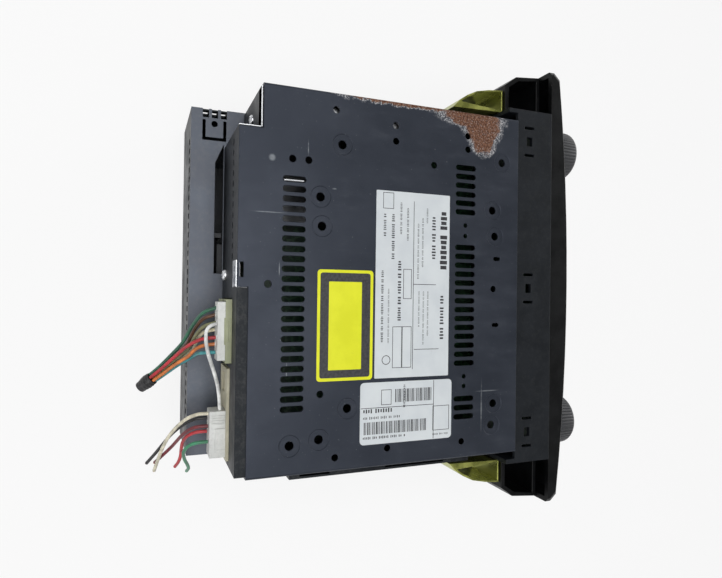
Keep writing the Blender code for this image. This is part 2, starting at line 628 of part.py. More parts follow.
def make_display():
    """The display module on the front board, and the curved lens in the fascia's window."""
    side, rise = WINDOW_WIDTH / 2 + DISPLAY_MARGIN, WINDOW_HEIGHT / 2 + DISPLAY_MARGIN
    front = front_y(side, FASCIA_WALL + GAP)
    rear = FRONT_BOARD_FRONT - GAP
    block("display_module", (-side, front, WINDOW_Z - rise), (side, rear, WINDOW_Z + rise), CHIP_LOOK)
    side, rise = WINDOW_WIDTH / 2 - GAP, WINDOW_HEIGHT / 2 - GAP
    front = arc_points(-side, side, LENS_SINK, LENS_STEPS)
    back = arc_points(side, -side, LENS_SINK + LENS_THICK, LENS_STEPS)
    shape = bmesh.new()
    add_prism(shape, front + back, WINDOW_Z - rise, WINDOW_Z + rise)
    add_object("display_lens", shape, LENS_LOOK, CURVED_SMOOTH_DEG)


# Key profile: cap through the fascia, flange behind it and a post towards the front board
KEY_PROUD = 0.0014
KEY_FLANGE = 0.0012
KEY_FLANGE_GAP = 0.0009
KEY_FLANGE_THICK = 0.0012
KEY_POST = 0.0025
KEY_TRAVEL = 0.0012
KEY_SOFTEN = 0.0004


def make_key(name, x, z, width, rocks):
    """One key; a rocker's post reaches the board, and a push key's stops its travel short of it."""
    reach = abs(x) + width / 2 + KEY_FLANGE
    inner = abs(x) - width / 2
    front = front_y(max(inner, 0)) - KEY_PROUD
    flange = front_y(reach, FASCIA_WALL) + KEY_FLANGE_GAP
    flange_back = flange + KEY_FLANGE_THICK
    post_end = FRONT_BOARD_FRONT - GAP - (0 if rocks else KEY_TRAVEL)
    side, rise = width / 2, KEY_HEIGHT / 2
    steps = ((front, side - KEY_SOFTEN, rise - KEY_SOFTEN), (front + KEY_SOFTEN, side, rise),
             (flange, side, rise), (flange, side + KEY_FLANGE, rise + KEY_FLANGE),
             (flange_back, side + KEY_FLANGE, rise + KEY_FLANGE), (flange_back, KEY_POST, KEY_POST),
             (post_end, KEY_POST, KEY_POST))
    middle = front_y(x, FASCIA_WALL / 2)
    corners = ((-1, -1), (1, -1), (1, 1), (-1, 1))
    rings = [[(u * half_x, y - middle, v * half_z) for u, v in corners] for y, half_x, half_z in steps]
    shape = bmesh.new()
    add_loft(shape, rings)
    add_object(name, shape, KEY_LOOK).location = (x, middle, z)


# Knobs: each turns on a stem, and the stem pushes in
KNOB_RADIUS = 0.0150
KNOB_LENGTH = 0.0140
KNOB_WALL = 0.0020
KNOB_TAPER = 0.0006
KNOB_HUB_RADIUS = 0.0060
STEM_COLLAR = 0.0020
STEM_COLLAR_THICK = 0.0015
STEM_INTO_KNOB = 0.0100
PUSH_TRAVEL = 0.0012


def make_knob(name, side):
    """A cupped knob with a hub, bored to turn on its stem, and the stem with its collar."""
    skin = front_y(KNOB_X - KNOB_RADIUS)
    back = skin - PUSH_TRAVEL - KEY_CLEARANCE
    front = back - KNOB_LENGTH
    place = (side * KNOB_X, KNOB_Z)
    bore = STEM_RADIUS + RUNNING
    stem_front = back - STEM_INTO_KNOB
    cup = stem_front - RUNNING
    inside = KNOB_RADIUS - KNOB_WALL
    profile = ((front, KNOB_RADIUS - 2 * KNOB_TAPER), (front + KNOB_TAPER, KNOB_RADIUS - KNOB_TAPER),
               (back, KNOB_RADIUS), (back, inside), (cup, inside - KNOB_TAPER), (cup, KNOB_HUB_RADIUS),
               (back, KNOB_HUB_RADIUS), (back, bore), (cup, bore))
    shifted = [(y - front, radius) for y, radius in profile]
    knob = turned(name + "_knob", "Y", (0, 0), shifted, KEY_LOOK, KNOB_SIDES)
    knob.location = (place[0], front, place[1])
    collar = front_y(KNOB_X + STEM_RADIUS + STEM_COLLAR, FASCIA_WALL) + KEY_CLEARANCE
    end = FRONT_BOARD_FRONT - GAP - PUSH_TRAVEL
    stem = ((stem_front, STEM_RADIUS), (collar, STEM_RADIUS), (collar, STEM_RADIUS + STEM_COLLAR),
            (collar + STEM_COLLAR_THICK, STEM_RADIUS + STEM_COLLAR),
            (collar + STEM_COLLAR_THICK, STEM_RADIUS), (end, STEM_RADIUS))
    turned(name + "_stem", "Y", place, stem, STEEL_LOOK)


# Wings behind the fascia's ends, and their spring clips
WING_MARGIN = 0.0120
WING_BOTTOM = WING_MARGIN
WING_TOP = CHASSIS_HEIGHT - WING_MARGIN
WING_INNER_X = SKIRT_WIDTH / 2 + GAP
WING_FRONT_Y = FASCIA_BACK_Y + GAP
WING_DEPTH = 0.0236
WING_INSET = 0.0005
WING_BEND_SHARE = 0.0717
WING_REAR_SHARE = 0.3038
WING_OUTER_X = FASCIA_WIDTH / 2 - WING_INSET
WING_BEND_X = WING_OUTER_X - WING_BEND_SHARE * (WING_OUTER_X - WING_INNER_X)
WING_REAR_X = WING_OUTER_X - WING_REAR_SHARE * (WING_OUTER_X - WING_INNER_X)
WING_BEND = 0.0160
WING_WALL = 0.0025
CLIP_SHEET = 0.0010
CLIP_DROP = 0.0020
CLIP_HEIGHT = 0.0260
CLIP_TOP = WING_TOP - CLIP_DROP
CLIP_BOTTOM = CLIP_TOP - CLIP_HEIGHT
CLIP_LENGTH = 0.0320
CLIP_TIP_OUT = 0.0004
CLIP_ROOT_OUT = 0.0022
CLIP_SPREAD = 0.0133
CLIP_TIP_X = WING_INNER_X + CLIP_TIP_OUT
CLIP_ROOT_X = WING_INNER_X + CLIP_ROOT_OUT
CLIP_BACK_X = CLIP_TIP_X + CLIP_SPREAD
CLIP_BACK_SHARES = ((1.0, 0.0), (0.93, 0.250), (0.80, 0.500), (0.58, 0.688), (0.35, 0.828))


def make_wing(name, side):
    """A hollow bracket, open at its top and bottom, that closes one end of the fascia from behind."""
    front, rear = WING_FRONT_Y, WING_FRONT_Y + WING_DEPTH
    outline = [(WING_INNER_X, front), (WING_OUTER_X, front), (WING_BEND_X, front + WING_BEND),
               (WING_REAR_X, rear), (WING_INNER_X, rear)]
    hollow = [(WING_INNER_X + WING_WALL, front + WING_WALL), (WING_OUTER_X - WING_WALL, front + WING_WALL),
              (WING_BEND_X - WING_WALL, front + WING_BEND - WING_WALL / 2),
              (WING_REAR_X - WING_WALL / 2, rear - WING_WALL), (WING_INNER_X + WING_WALL, rear - WING_WALL)]
    shape = bmesh.new()
    add_prism(shape, [(side * x, y) for x, y in outline], WING_BOTTOM, WING_TOP)
    made = add_object(name, shape, PLASTIC_LOOK)
    cuts = bmesh.new()
    add_prism(cuts, [(side * x, y) for x, y in hollow], WING_BOTTOM - OVERRUN, WING_TOP + OVERRUN)
    boolean(made, cuts, "DIFFERENCE")


def make_clip(name, side):
    """A bent spring clip: a foot on the wing's back, a straight leg and a bowed leg that meet at the tip."""
    foot = WING_FRONT_Y + WING_DEPTH + GAP
    tip_y = foot + CLIP_LENGTH
    bowed = [(CLIP_TIP_X + across * CLIP_SPREAD, foot + CLIP_SHEET + along * CLIP_LENGTH)
             for across, along in CLIP_BACK_SHARES]
    outer = [(CLIP_ROOT_X - CLIP_SHEET, foot), (CLIP_BACK_X, foot), *bowed[1:], (CLIP_TIP_X, tip_y)]
    inner = [(CLIP_ROOT_X, foot + CLIP_SHEET), (CLIP_BACK_X - CLIP_SHEET, foot + CLIP_SHEET)]
    inner += [(x - CLIP_SHEET, y - CLIP_SHEET / 2) for x, y in bowed[1:]]
    shape = bmesh.new()
    add_prism(shape, [(side * x, y) for x, y in outer], CLIP_BOTTOM, CLIP_TOP)
    made = add_object(name, shape, PASSIVATED_LOOK)
    cuts = bmesh.new()
    add_prism(cuts, [(side * x, y) for x, y in inner], CLIP_BOTTOM - OVERRUN, CLIP_TOP + OVERRUN)
    boolean(made, cuts, "DIFFERENCE")


def make_main_board():
    x = INNER_X - BOARD_MARGIN
    front, rear = FRONT_Y + BOARD_MARGIN, REAR_Y - SHEET - BOARD_REAR_MARGIN
    notch_x, notch_y = NOTCH_X - SHEET - BOARD_MARGIN, NOTCH_Y - SHEET - BOARD_REAR_MARGIN
    outline = [(-x, front), (x, front), (x, notch_y), (notch_x, notch_y), (notch_x, rear), (-x, rear)]
    shape = bmesh.new()
    add_prism(shape, outline, BOARD_BOTTOM, BOARD_BOTTOM + BOARD_THICK)
    add_object("main_board", shape, BOARD_LOOK)


# Radio deck parts on the main board
SINK_BASE = 0.0040
SINK_REACH = 0.0150
SINK_FROM_FRONT = 0.0250
SINK_FRONT_Y = FRONT_Y + SINK_FROM_FRONT
SINK_FINS = 12
FIN_PITCH = 0.0055
FIN_THICK = 0.0018
SINK_DROP = 0.0080
SINK_TOP = CHASSIS_HEIGHT - SINK_DROP
SINK_CLEARANCE = 0.0006
CHIP_THICK = 0.0045
CHIP_LENGTH = 0.0260
CHIP_HEIGHT = 0.0198
TUNER_FROM_WALL = 0.0117
TUNER_FROM_NOTCH = 0.0090
TUNER_WIDTH = 0.0460
TUNER_LENGTH = 0.0380
TUNER_HEIGHT = 0.0150
CAPACITOR_FROM_WALL = 0.0377
CAPACITOR_X = CAPACITOR_FROM_WALL - INNER_X
CAPACITOR_Y = 0.0180
CAPACITOR_RADIUS = 0.0080
CAPACITOR_HEIGHT = 0.0250
CAPACITOR_EDGE = 0.0008


def make_amplifier():
    """A finned heat sink along the right wall, with the amplifier chip on its base."""
    wall = -(INNER_X - SINK_CLEARANCE)
    base = wall + SINK_REACH
    length = (SINK_FINS - 1) * FIN_PITCH + FIN_THICK
    outline = [(base, SINK_FRONT_Y), (base, SINK_FRONT_Y + length)]
    for index in reversed(range(SINK_FINS)):
        low = SINK_FRONT_Y + index * FIN_PITCH
        outline += [(wall, low + FIN_THICK), (wall, low)]
        if index:
            outline += [(base - SINK_BASE, low), (base - SINK_BASE, low + FIN_THICK - FIN_PITCH)]
    shape = bmesh.new()
    add_prism(shape, outline, ON_BOARD, SINK_TOP)
    add_object("heat_sink", shape, ALUMINIUM_LOOK)
    middle = SINK_FRONT_Y + length / 2
    low = (base + GAP, middle - CHIP_LENGTH / 2, ON_BOARD)
    high = (base + GAP + CHIP_THICK, middle + CHIP_LENGTH / 2, ON_BOARD + CHIP_HEIGHT)
    block("amplifier_chip", low, high, CHIP_LOOK)


def make_board_parts():
    left, rear = INNER_X - TUNER_FROM_WALL, NOTCH_Y - TUNER_FROM_NOTCH
    low = (left - TUNER_WIDTH, rear - TUNER_LENGTH, ON_BOARD)
    block("tuner_can", low, (left, rear, ON_BOARD + TUNER_HEIGHT), STEEL_LOOK)
    top = ON_BOARD + CAPACITOR_HEIGHT
    profile = ((ON_BOARD, CAPACITOR_RADIUS), (top - CAPACITOR_EDGE, CAPACITOR_RADIUS),
               (top, CAPACITOR_RADIUS - CAPACITOR_EDGE))
    turned("filter_capacitor", "Z", (CAPACITOR_X, CAPACITOR_Y), profile, CHIP_LOOK)


# Plugs and the sockets' cavities: margin to the socket, height, seat depth and reach past the rear wall
PLUG_MARGIN = 0.0012
POWER_PLUG_HEIGHT = 0.0106
POWER_PLUG_OUT = 0.0063
ACCESSORY_PLUG_WIDTH = 0.0222
ACCESSORY_PLUG_HEIGHT = 0.0116
ACCESSORY_PLUG_DROP = 0.0030
ACCESSORY_PLUG_OUT = 0.0085
PLUG_SEAT = 0.0080
ANTENNA_SIZE = 0.0094
ANTENNA_FROM_LEFT = 0.0030
ANTENNA_RISE = 0.0048
ANTENNA_BOTTOM = ON_BOARD + ANTENNA_RISE
ANTENNA_DEPTH = 0.0140


def plug_boxes():
    """Name, low and high corner of each plug."""
    seat = REAR_Y - PLUG_SEAT
    power_top = POWER_TOP - PLUG_MARGIN
    side = POWER_WIDTH / 2 - PLUG_MARGIN
    yield ("power_plug", (POWER_X - side, seat, power_top - POWER_PLUG_HEIGHT),
           (POWER_X + side, REAR_Y + POWER_PLUG_OUT, power_top))
    right = ACCESSORY_X - ACCESSORY_WIDTH / 2 + PLUG_MARGIN
    top = ACCESSORY_TOP - ACCESSORY_PLUG_DROP
    yield ("accessory_plug", (right, seat, top - ACCESSORY_PLUG_HEIGHT),
           (right + ACCESSORY_PLUG_WIDTH, REAR_Y + ACCESSORY_PLUG_OUT, top))


def make_connectors():
    """Two sockets that stand on the board and look out of the rear wall, with their plugs."""
    rear_start = REAR_Y - SOCKET_DEPTH
    sockets = {
        "power_plug": block("power_socket", (POWER_X - POWER_WIDTH / 2, rear_start, ON_BOARD),
                            (POWER_X + POWER_WIDTH / 2, REAR_Y + POWER_OUT, POWER_TOP), SOCKET_LOOK),
        "accessory_plug": block("accessory_socket", (ACCESSORY_X - ACCESSORY_WIDTH / 2, rear_start, ON_BOARD),
                                (ACCESSORY_X + ACCESSORY_WIDTH / 2, REAR_Y + ACCESSORY_OUT, ACCESSORY_TOP),
                                BEIGE_LOOK),
    }
    for name, low, high in plug_boxes():
        block(name, low, high, WHITE_LOOK)
        cuts = bmesh.new()
        mouth = (high[0] + GAP, REAR_Y + 2 * OVERRUN, high[2] + GAP)
        add_box(cuts, tuple(value - GAP for value in low), mouth)
        if name == "accessory_plug":
            left = ACCESSORY_X + ACCESSORY_WIDTH / 2 - ANTENNA_FROM_LEFT
            mouth = REAR_Y + ACCESSORY_OUT
            add_box(cuts, (left - ANTENNA_SIZE, mouth - ANTENNA_DEPTH, ANTENNA_BOTTOM),
                    (left, mouth + OVERRUN, ANTENNA_BOTTOM + ANTENNA_SIZE))
        boolean(sockets[name], cuts, "DIFFERENCE")


# Disc deck: plate on four legs, with upright ears that carry the moving pieces
MECH_SHEET = 0.0015
MECH_BELOW_DISC = 0.0160
MECH_BOTTOM = DISC_PLANE - MECH_BELOW_DISC
MECH_TOP = MECH_BOTTOM + MECH_SHEET
MECH_HALF = 0.0660
MECH_FROM_FRONT = 0.0110
MECH_FROM_REAR = 0.0060
MECH_FRONT_Y = FRONT_Y + MECH_FROM_FRONT
MECH_REAR_Y = LEDGE_Y - MECH_FROM_REAR
LEG_SIZE = 0.0080
LEG_INSET = 0.0040
EAR_THICK = 0.0025
EAR_MARGIN = 0.0030

SPINDLE_Y = 0.0040
SPINDLE_RADIUS = 0.0012
MOTOR_RADIUS = 0.0130
MOTOR_HEIGHT = 0.0080
TABLE_RADIUS = 0.0140
TABLE_THICK = 0.0028
TABLE_BOSS_RADIUS = 0.0040
TABLE_BOSS = 0.0036
TABLE_CONE_RADIUS = 0.0073
TABLE_CONE = 0.0010
DISC_SINK = 0.0006

ROLLER_FROM_FRONT = 0.0060
ROLLER_Y = MECH_FRONT_Y + ROLLER_FROM_FRONT
ROLLER_RADIUS = 0.0035
ROLLER_HALF = 0.0560
ROLLER_EAR_CLEARANCE = 0.0040
ROLLER_EAR_X = ROLLER_HALF + ROLLER_EAR_CLEARANCE
ROLLER_SHAFT_RADIUS = 0.0015

ROD_RADIUS = 0.0015
ROD_X = -0.0180
SCREW_X = 0.0170
RAIL_RISE = 0.0060
RAIL_Z = MECH_TOP + RAIL_RISE
RAIL_BEHIND_SPINDLE = 0.0160
RAIL_FROM_REAR = 0.0080
RAIL_FRONT_Y = SPINDLE_Y + RAIL_BEHIND_SPINDLE
RAIL_REAR_Y = MECH_REAR_Y - RAIL_FROM_REAR
RAIL_EAR_WIDTH = 0.0080

SLED_START = 0.0020
SLED_FRONT_Y = RAIL_FRONT_Y + EAR_THICK + SLED_START
SLED_LENGTH = 0.0160
SLED_LEFT_BEARING = 0.0050
SLED_RIGHT_BEARING = 0.0060
SLED_LEFT_X = SCREW_X + SLED_LEFT_BEARING
SLED_RIGHT_X = ROD_X - SLED_RIGHT_BEARING
SLED_HEIGHT = 0.0080
SLED_BOTTOM = RAIL_Z - SLED_HEIGHT / 2
SLED_TOP = RAIL_Z + SLED_HEIGHT / 2
LENS_RADIUS = 0.0035
LENS_RISE = 0.0020

SLED_MOTOR_RADIUS = RAIL_Z - MECH_TOP - GAP
SLED_MOTOR_LENGTH = 0.0075

PUCK_RADIUS = 0.0120
ARM_FROM_REAR = 0.0060
ARM_BELOW_DECK = 0.0060
ARM_PIVOT_Y = MECH_REAR_Y - ARM_FROM_REAR
ARM_Z = DECK_BOTTOM - ARM_BELOW_DECK
ARM_THICK = 0.0015
ARM_HALF = 0.0200
ARM_FRONT_Y = SPINDLE_Y - PUCK_RADIUS
ARM_PIN_RADIUS = 0.0015
ARM_KNUCKLE = 0.0026
ARM_EAR_CLEARANCE = 0.0030
ARM_EAR_X = ARM_HALF + ARM_EAR_CLEARANCE
DISC_THICK = 0.0012

TABLE_TOP = DISC_PLANE - DISC_SINK
RAIL_EARS = (RAIL_FRONT_Y, RAIL_REAR_Y)
ROLLER_Z = TABLE_TOP - GAP - ROLLER_RADIUS


def mech_ears():
    """Low and high corner of each upright ear, up to a margin above the hole that it carries."""
    for x in (ROD_X, SCREW_X):
        for y in RAIL_EARS:
            yield ((x - RAIL_EAR_WIDTH / 2, y, MECH_TOP - MECH_SHEET / 2),
                   (x + RAIL_EAR_WIDTH / 2, y + EAR_THICK, RAIL_Z + EAR_MARGIN + ROD_RADIUS))
    for side in (-1, 1):
        for x, y, z, radius in ((ROLLER_EAR_X, ROLLER_Y, ROLLER_Z, ROLLER_SHAFT_RADIUS),
                                (ARM_EAR_X, ARM_PIVOT_Y, ARM_Z, ARM_PIN_RADIUS)):
            near, far = sorted((side * x, side * (x + EAR_THICK)))
            reach = radius + EAR_MARGIN
            yield (near, y - reach, MECH_TOP - MECH_SHEET / 2), (far, y + reach, z + reach)


def make_mech_plate():
    """The mechanism's chassis: plate, legs down to the case's floor, and ears with bearing holes."""
    low, high = (-MECH_HALF, MECH_FRONT_Y, MECH_BOTTOM), (MECH_HALF, MECH_REAR_Y, MECH_TOP)
    made = block("mech_plate", low, high, STEEL_LOOK)
    extras = bmesh.new()
    for side in (-1, 1):
        x = side * (MECH_HALF - LEG_INSET - LEG_SIZE / 2)
        for y in (MECH_FRONT_Y + LEG_INSET + LEG_SIZE / 2, MECH_REAR_Y - LEG_INSET - LEG_SIZE / 2):
            add_box(extras, (x - LEG_SIZE / 2, y - LEG_SIZE / 2, SHEET + GAP),
                    (x + LEG_SIZE / 2, y + LEG_SIZE / 2, MECH_BOTTOM + MECH_SHEET / 2))
    for low, high in mech_ears():
        add_box(extras, low, high)
    boolean(made, extras, "UNION")
    cuts = bmesh.new()
    for x in (ROD_X, SCREW_X):
        ends = RAIL_FRONT_Y - OVERRUN, RAIL_REAR_Y + EAR_THICK + OVERRUN
        add_rod(cuts, "Y", (x, RAIL_Z), ROD_RADIUS + RUNNING, *ends, ROUND_SIDES)
    across = ROLLER_EAR_X + EAR_THICK + OVERRUN
    add_rod(cuts, "X", (ROLLER_Y, ROLLER_Z), ROLLER_SHAFT_RADIUS + RUNNING, -across, across, ROUND_SIDES)
    across = ARM_EAR_X + EAR_THICK + OVERRUN
    add_rod(cuts, "X", (ARM_PIVOT_Y, ARM_Z), ARM_PIN_RADIUS + RUNNING, -across, across, ROUND_SIDES)
    spindle_hole = SPINDLE_RADIUS + 2 * RUNNING
    add_rod(cuts, "Z", (0, SPINDLE_Y), spindle_hole, MECH_BOTTOM - OVERRUN, MECH_TOP + OVERRUN, SMALL_SIDES)
    boolean(made, cuts, "DIFFERENCE")


def make_spindle():
    """The motor under the plate, and the turntable on its shaft."""
    top = MECH_BOTTOM - GAP
    boss_bottom = TABLE_TOP - TABLE_THICK - TABLE_BOSS
    shaft_end = TABLE_TOP - TABLE_THICK / 2
    profile = ((top - MOTOR_HEIGHT, MOTOR_RADIUS), (top, MOTOR_RADIUS), (top, SPINDLE_RADIUS),
               (shaft_end, SPINDLE_RADIUS))
    turned("spindle_motor", "Z", (0, SPINDLE_Y), profile, STEEL_LOOK)
    bore = SPINDLE_RADIUS + RUNNING
    profile = ((TABLE_TOP + TABLE_CONE, TABLE_CONE_RADIUS - TABLE_CONE), (TABLE_TOP, TABLE_CONE_RADIUS),
               (TABLE_TOP, TABLE_RADIUS), (TABLE_TOP - TABLE_THICK, TABLE_RADIUS),
               (TABLE_TOP - TABLE_THICK, TABLE_BOSS_RADIUS), (boss_bottom, TABLE_BOSS_RADIUS),
               (boss_bottom, bore), (shaft_end + RUNNING, bore))
    turned("turntable", "Z", (0, SPINDLE_Y), profile, CHIP_LOOK, TABLE_SIDES)


def make_sled():
    """The optical sled with its lens, bored for the rod and the lead screw."""
    made = block("optical_sled", (SLED_RIGHT_X, SLED_FRONT_Y, SLED_BOTTOM),
                 (SLED_LEFT_X, SLED_FRONT_Y + SLED_LENGTH, SLED_TOP), CHIP_LOOK)
    lens = bmesh.new()
    middle = SLED_FRONT_Y + SLED_LENGTH / 2
    add_rod(lens, "Z", (0, middle), LENS_RADIUS, SLED_TOP - LENS_RISE, SLED_TOP + LENS_RISE, SMALL_SIDES)
    boolean(made, lens, "UNION")
    cuts = bmesh.new()
    ends = SLED_FRONT_Y - OVERRUN, SLED_FRONT_Y + SLED_LENGTH + OVERRUN
    for x in (ROD_X, SCREW_X):
        add_rod(cuts, "Y", (x, RAIL_Z), ROD_RADIUS + RUNNING, *ends, ROUND_SIDES)
    boolean(made, cuts, "DIFFERENCE")


def make_rails():
    """The rod and the lead screw between the rail ears, and the motor at the screw's end."""
    ends = (RAIL_FRONT_Y, RAIL_REAR_Y + EAR_THICK)
    for name, x in (("sled_rod", ROD_X), ("lead_screw", SCREW_X)):
        turned(name, "Y", (x, RAIL_Z), [(end, ROD_RADIUS) for end in ends], STEEL_LOOK, PIN_SIDES)
    start = RAIL_REAR_Y + EAR_THICK + GAP
    profile = ((start, SLED_MOTOR_RADIUS), (start + SLED_MOTOR_LENGTH, SLED_MOTOR_RADIUS))
    turned("sled_motor", "Y", (SCREW_X, RAIL_Z), profile, STEEL_LOOK)


def make_loading_roller():
    """A rubber roller, waisted towards its middle, with shaft ends in the ears."""
    end = ROLLER_EAR_X + EAR_THICK
    waist = ROLLER_RADIUS - GAP
    profile = ((-end, ROLLER_SHAFT_RADIUS), (-ROLLER_HALF, ROLLER_SHAFT_RADIUS),
               (-ROLLER_HALF, ROLLER_RADIUS), (0, waist), (ROLLER_HALF, ROLLER_RADIUS),
               (ROLLER_HALF, ROLLER_SHAFT_RADIUS), (end, ROLLER_SHAFT_RADIUS))
    turned("loading_roller", "X", (ROLLER_Y, ROLLER_Z), profile, RUBBER_LOOK, PIN_SIDES)


def make_clamp_arm():
    """The arm that presses a disc onto the turntable, with its pivot pin and its puck."""
    bottom = ARM_Z - ARM_THICK
    low, high = (-ARM_HALF, ARM_FRONT_Y, bottom), (ARM_HALF, ARM_PIVOT_Y, ARM_Z)
    made = block("clamp_arm", low, high, STEEL_LOOK)
    extras = bmesh.new()
    puck_bottom = TABLE_TOP + DISC_THICK + GAP
    add_rod(extras, "Z", (0, SPINDLE_Y), PUCK_RADIUS, puck_bottom, bottom + ARM_THICK / 2, ROUND_SIDES)
    boolean(made, extras, "UNION")
    pivot = bmesh.new()
    neck, end = ARM_EAR_X - RUNNING, ARM_EAR_X + EAR_THICK
    profile = ((-end, ARM_PIN_RADIUS), (-neck, ARM_PIN_RADIUS), (-neck, ARM_KNUCKLE), (neck, ARM_KNUCKLE),
               (neck, ARM_PIN_RADIUS), (end, ARM_PIN_RADIUS))
    add_turned(pivot, "X", (ARM_PIVOT_Y, ARM_Z), profile, PIN_SIDES)
    boolean(made, pivot, "UNION")


# Wires: cut-off ends of the harness, routed by hand from the plugs' rear faces
WIRE_RADIUS = 0.00085
WIRE_RESOLUTION = 2
WIRE_POINT_SPACING = 0.0040
CURVE_STEPS = 12
POWER_EXIT_Y = REAR_Y + POWER_PLUG_OUT + GAP
ACCESSORY_EXIT_Y = REAR_Y + ACCESSORY_PLUG_OUT + GAP

# The seven power wires leave the plug in two rows, by turns, and gather into a loom of one amid six
PIN_PITCH = 0.0035
PIN_SHIFT = 0.0005
PIN_ROW_RISE = 0.0020
LOOM_SLACK = 0.00005
LOOM_PITCH = 2 * WIRE_RADIUS + GAP + LOOM_SLACK
LOOM_RING = 6
LEAD_OUT = 0.0090
LEAD_IN = 0.0040
LEAD_STEPS = 4
TAPE_RADIUS = 0.0036
TAPE_LENGTH = 0.0085
TAPE_SHARES = ((0.0, 0.90), (0.5, 1.0), (1.0, 0.85))

# The loom's centre line after the wires have gathered, ending in the tape, and its spread there
LOOM_ROUTE = ((-0.0345, 0.0935, 0.0660), (-0.0400, 0.0990, 0.0590), (-0.0450, 0.1040, 0.0545),
              (-0.0490, 0.1085, 0.0515))
LOOM_SPREAD_SHARES = (2.0, 1.45, 1.15, 1.0)

# Each power wire's name, place in the loom and colour, from the plug's left end to its right
POWER_WIRES = (
    ("wire_green", 1, (0.020, 0.110, 0.060)),
    ("wire_brown", 6, (0.110, 0.045, 0.020)),
    ("wire_olive", 0, (0.180, 0.180, 0.090)),
    ("wire_cream", 5, (0.650, 0.600, 0.420)),
    ("wire_red", 2, (0.450, 0.020, 0.030)),
    ("wire_orange", 3, (0.650, 0.190, 0.040)),
    ("wire_teal", 4, (0.050, 0.280, 0.300)),
)
ACCESSORY_WIRES = (
    ("stub_cream", (0.680, 0.640, 0.500),
     ((-0.0640, ACCESSORY_EXIT_Y, 0.0745), (-0.0642, 0.0886, 0.0742), (-0.0662, 0.0928, 0.0716),
      (-0.0704, 0.0968, 0.0666), (-0.0764, 0.1006, 0.0608), (-0.0824, 0.1032, 0.0568),
      (-0.0888, 0.1052, 0.0534), (-0.0966, 0.1072, 0.0490))),
    ("stub_black", (0.010, 0.010, 0.012),
     ((-0.0670, ACCESSORY_EXIT_Y, 0.0700), (-0.0672, 0.0886, 0.0697), (-0.0692, 0.0928, 0.0670),
      (-0.0730, 0.0966, 0.0616), (-0.0776, 0.1000, 0.0560), (-0.0822, 0.1030, 0.0524),
      (-0.0878, 0.1066, 0.0486), (-0.0940, 0.1108, 0.0436))),
    ("stub_dark_red", (0.160, 0.012, 0.020),
     ((-0.0700, ACCESSORY_EXIT_Y, 0.0745), (-0.0702, 0.0888, 0.0741), (-0.0720, 0.0926, 0.0716),
      (-0.0754, 0.0952, 0.0668), (-0.0794, 0.0972, 0.0610), (-0.0834, 0.0994, 0.0560),
      (-0.0878, 0.1028, 0.0520), (-0.0928, 0.1070, 0.0480))),
    ("stub_red", (0.500, 0.030, 0.040),
     ((-0.0735, ACCESSORY_EXIT_Y, 0.0700), (-0.0737, 0.0888, 0.0697), (-0.0756, 0.0926, 0.0676),
      (-0.0794, 0.0944, 0.0632), (-0.0842, 0.0948, 0.0578), (-0.0890, 0.0948, 0.0532),
      (-0.0932, 0.0956, 0.0494), (-0.0965, 0.0970, 0.0455))),
    ("stub_green", (0.040, 0.220, 0.110),
     ((-0.0775, ACCESSORY_EXIT_Y, 0.0745), (-0.0777, 0.0888, 0.0742), (-0.0794, 0.0926, 0.0724),
      (-0.0832, 0.0944, 0.0686), (-0.0880, 0.0936, 0.0632), (-0.0924, 0.0918, 0.0578),
      (-0.0960, 0.0908, 0.0524), (-0.0990, 0.0912, 0.0465))),
)
JUMPER_ROUTE = ((-0.0205, POWER_EXIT_Y, 0.0838), (-0.0210, 0.0835, 0.0838), (-0.0221, 0.0852, 0.0839),
                (-0.0238, 0.0862, 0.0839), (-0.0260, 0.0864, 0.0840), (-0.0296, 0.0862, 0.0841),
                (-0.0342, 0.0853, 0.0841), (-0.0390, 0.0838, 0.0836), (-0.0442, 0.0820, 0.0820),
                (-0.0500, 0.0803, 0.0798), (-0.0560, 0.0792, 0.0776), (-0.0623, 0.0786, 0.0756))


def smooth_curve(route):
    """Points on a smooth curve that passes through each point of a route, a cubic for each stretch."""
    points = [Vector(point) for point in route]
    points = [2 * points[0] - points[1], *points, 2 * points[-1] - points[-2]]
    curve = []
    for a, b, c, d in zip(points, points[1:], points[2:], points[3:]):
        for index in range(CURVE_STEPS):
            t = index / CURVE_STEPS
            bend = (2 * a - 5 * b + 4 * c - d) * t * t + (3 * b - a - 3 * c + d) * t * t * t
            curve.append((2 * b + (c - a) * t + bend) / 2)
    curve.append(points[-2])
    return curve


def spaced(curve, spacing):
    """The same curve with evenly spaced points."""
    lengths = [0]
    for a, b in zip(curve, curve[1:]):
        lengths.append(lengths[-1] + (b - a).length)
    count = max(2, round(lengths[-1] / spacing))
    result, index = [], 0
    for step in range(count + 1):
        want = lengths[-1] * step / count
        while index < len(curve) - 2 and lengths[index + 1] < want:
            index += 1
        share = (want - lengths[index]) / (lengths[index + 1] - lengths[index])
        result.append(curve[index].lerp(curve[index + 1], min(share, 1)))
    return result


def make_wire(name, route, colour):
    curve = bpy.data.curves.new(name, "CURVE")
    curve.dimensions = "3D"
    curve.bevel_depth = WIRE_RADIUS
    curve.bevel_resolution = WIRE_RESOLUTION
    curve.use_fill_caps = True
    line = curve.splines.new("POLY")
    points = spaced(smooth_curve(route), WIRE_POINT_SPACING)
    line.points.add(len(points) - 1)
    for point, place in zip(line.points, points):
        point.co = (*place, 1)
    curve.materials.append(paint(name, colour, VINYL_ROUGHNESS, 0.0))
    made = bpy.data.objects.new(name, curve)
    bpy.context.collection.objects.link(made)


def loom_offset(place):
    """Where a wire lies across the loom: place 0 is its middle, and the others stand round it."""
    if place == 0:
        return 0, 0
    turn = 2 * pi * (place - 1) / LOOM_RING
    return LOOM_PITCH * cos(turn), LOOM_PITCH * sin(turn)


